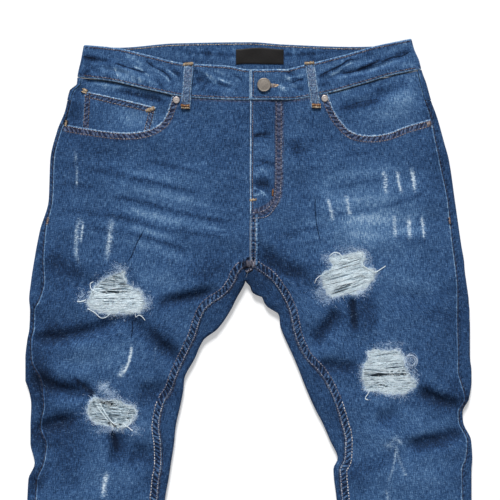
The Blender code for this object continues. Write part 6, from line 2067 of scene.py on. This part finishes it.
bare_cotton = fibre_material("white_threads", (0.79, 0.91, 0.98), (0.26, 0.37, 0.46), (0.88, 0.96, 1.0))
blue_lint = fibre_material("blue_lint", (0.40, 0.54, 0.76), (0.14, 0.24, 0.44), (0.66, 0.78, 0.92))


for side in LEGS:
    front_panel(side)
    back_panel(side)
    yoke(side)
    pocket_facing(side)
    front_loop(side)
    back_pocket(side)
waistband()
coin_pocket()
for name, x in BACK_LOOPS.items():
    back_loop(name, x)
stitching()
loop_stitches()
for number, rip in enumerate(RIPS):
    rip_threads(rip, number)
loose_threads()
hardware()
waist_label()


def sun(name, elevation, azimuth, strength, spread):
    """A wide, soft light from a direction over the garment; azimuth 90 is the waist's side."""
    lamp = bpy.data.lights.new(name, "SUN")
    lamp.energy = strength
    lamp.angle = np.radians(spread)
    made = bpy.data.objects.new(name, lamp)
    high, round_ = np.radians(elevation), np.radians(azimuth)
    source = Vector((np.cos(high) * np.cos(round_), np.cos(high) * np.sin(round_), np.sin(high)))
    made.rotation_euler = source.to_track_quat("Z", "Y").to_euler()
    bpy.context.scene.collection.objects.link(made)


def floor_material():
    """A matte white ground; seen straight by the camera it lifts to white and keeps the shadow."""
    g = Graph("floor_white")
    seen = sum(g.node("ShaderNodeLightPath", {}, output=f"Is {kind} Ray")
               for kind in ("Camera", "Glossy", "Transmission"))
    g.join((0.8, 0.8, 0.8), g.shader.inputs["Base Color"])
    g.join(1.0, g.shader.inputs["Roughness"])
    g.join((1.0, 1.0, 1.0), g.shader.inputs["Emission Color"])
    g.join(seen * 0.3, g.shader.inputs["Emission Strength"])
    return g.material


LENS = 113.4             # in millimetres, on a sensor 36 wide
CAMERA_PLACE = (0, 0.2685, 2.016)
SKY, SKY_STRENGTH = (0.95, 0.97, 1.0, 1.0), 0.30


def stage_scene():
    """The floor, the lights, and the camera, which looks straight down on the upper half."""
    scene = bpy.context.scene
    bpy.ops.mesh.primitive_plane_add(size=12, location=(0, 0, -MM))
    floor = bpy.context.object
    floor.name = "floor"
    floor.data.materials.append(floor_material())
    world = bpy.data.worlds.new("soft_white")
    world.use_nodes = True
    sky = world.node_tree.nodes["Background"]
    sky.inputs["Color"].default_value = SKY
    sky.inputs["Strength"].default_value = SKY_STRENGTH
    scene.world = world
    sun("key", 38, 97, 3.45, 16)
    sun("fill", 60, -70, 0.15, 60)
    scene.view_settings.view_transform = "Standard"
    lens = bpy.data.cameras.new("camera")
    lens.lens = LENS
    lens.sensor_width = 36
    camera = bpy.data.objects.new("camera", lens)
    camera.location = CAMERA_PLACE
    scene.collection.objects.link(camera)
    scene.camera = camera


stage_scene()
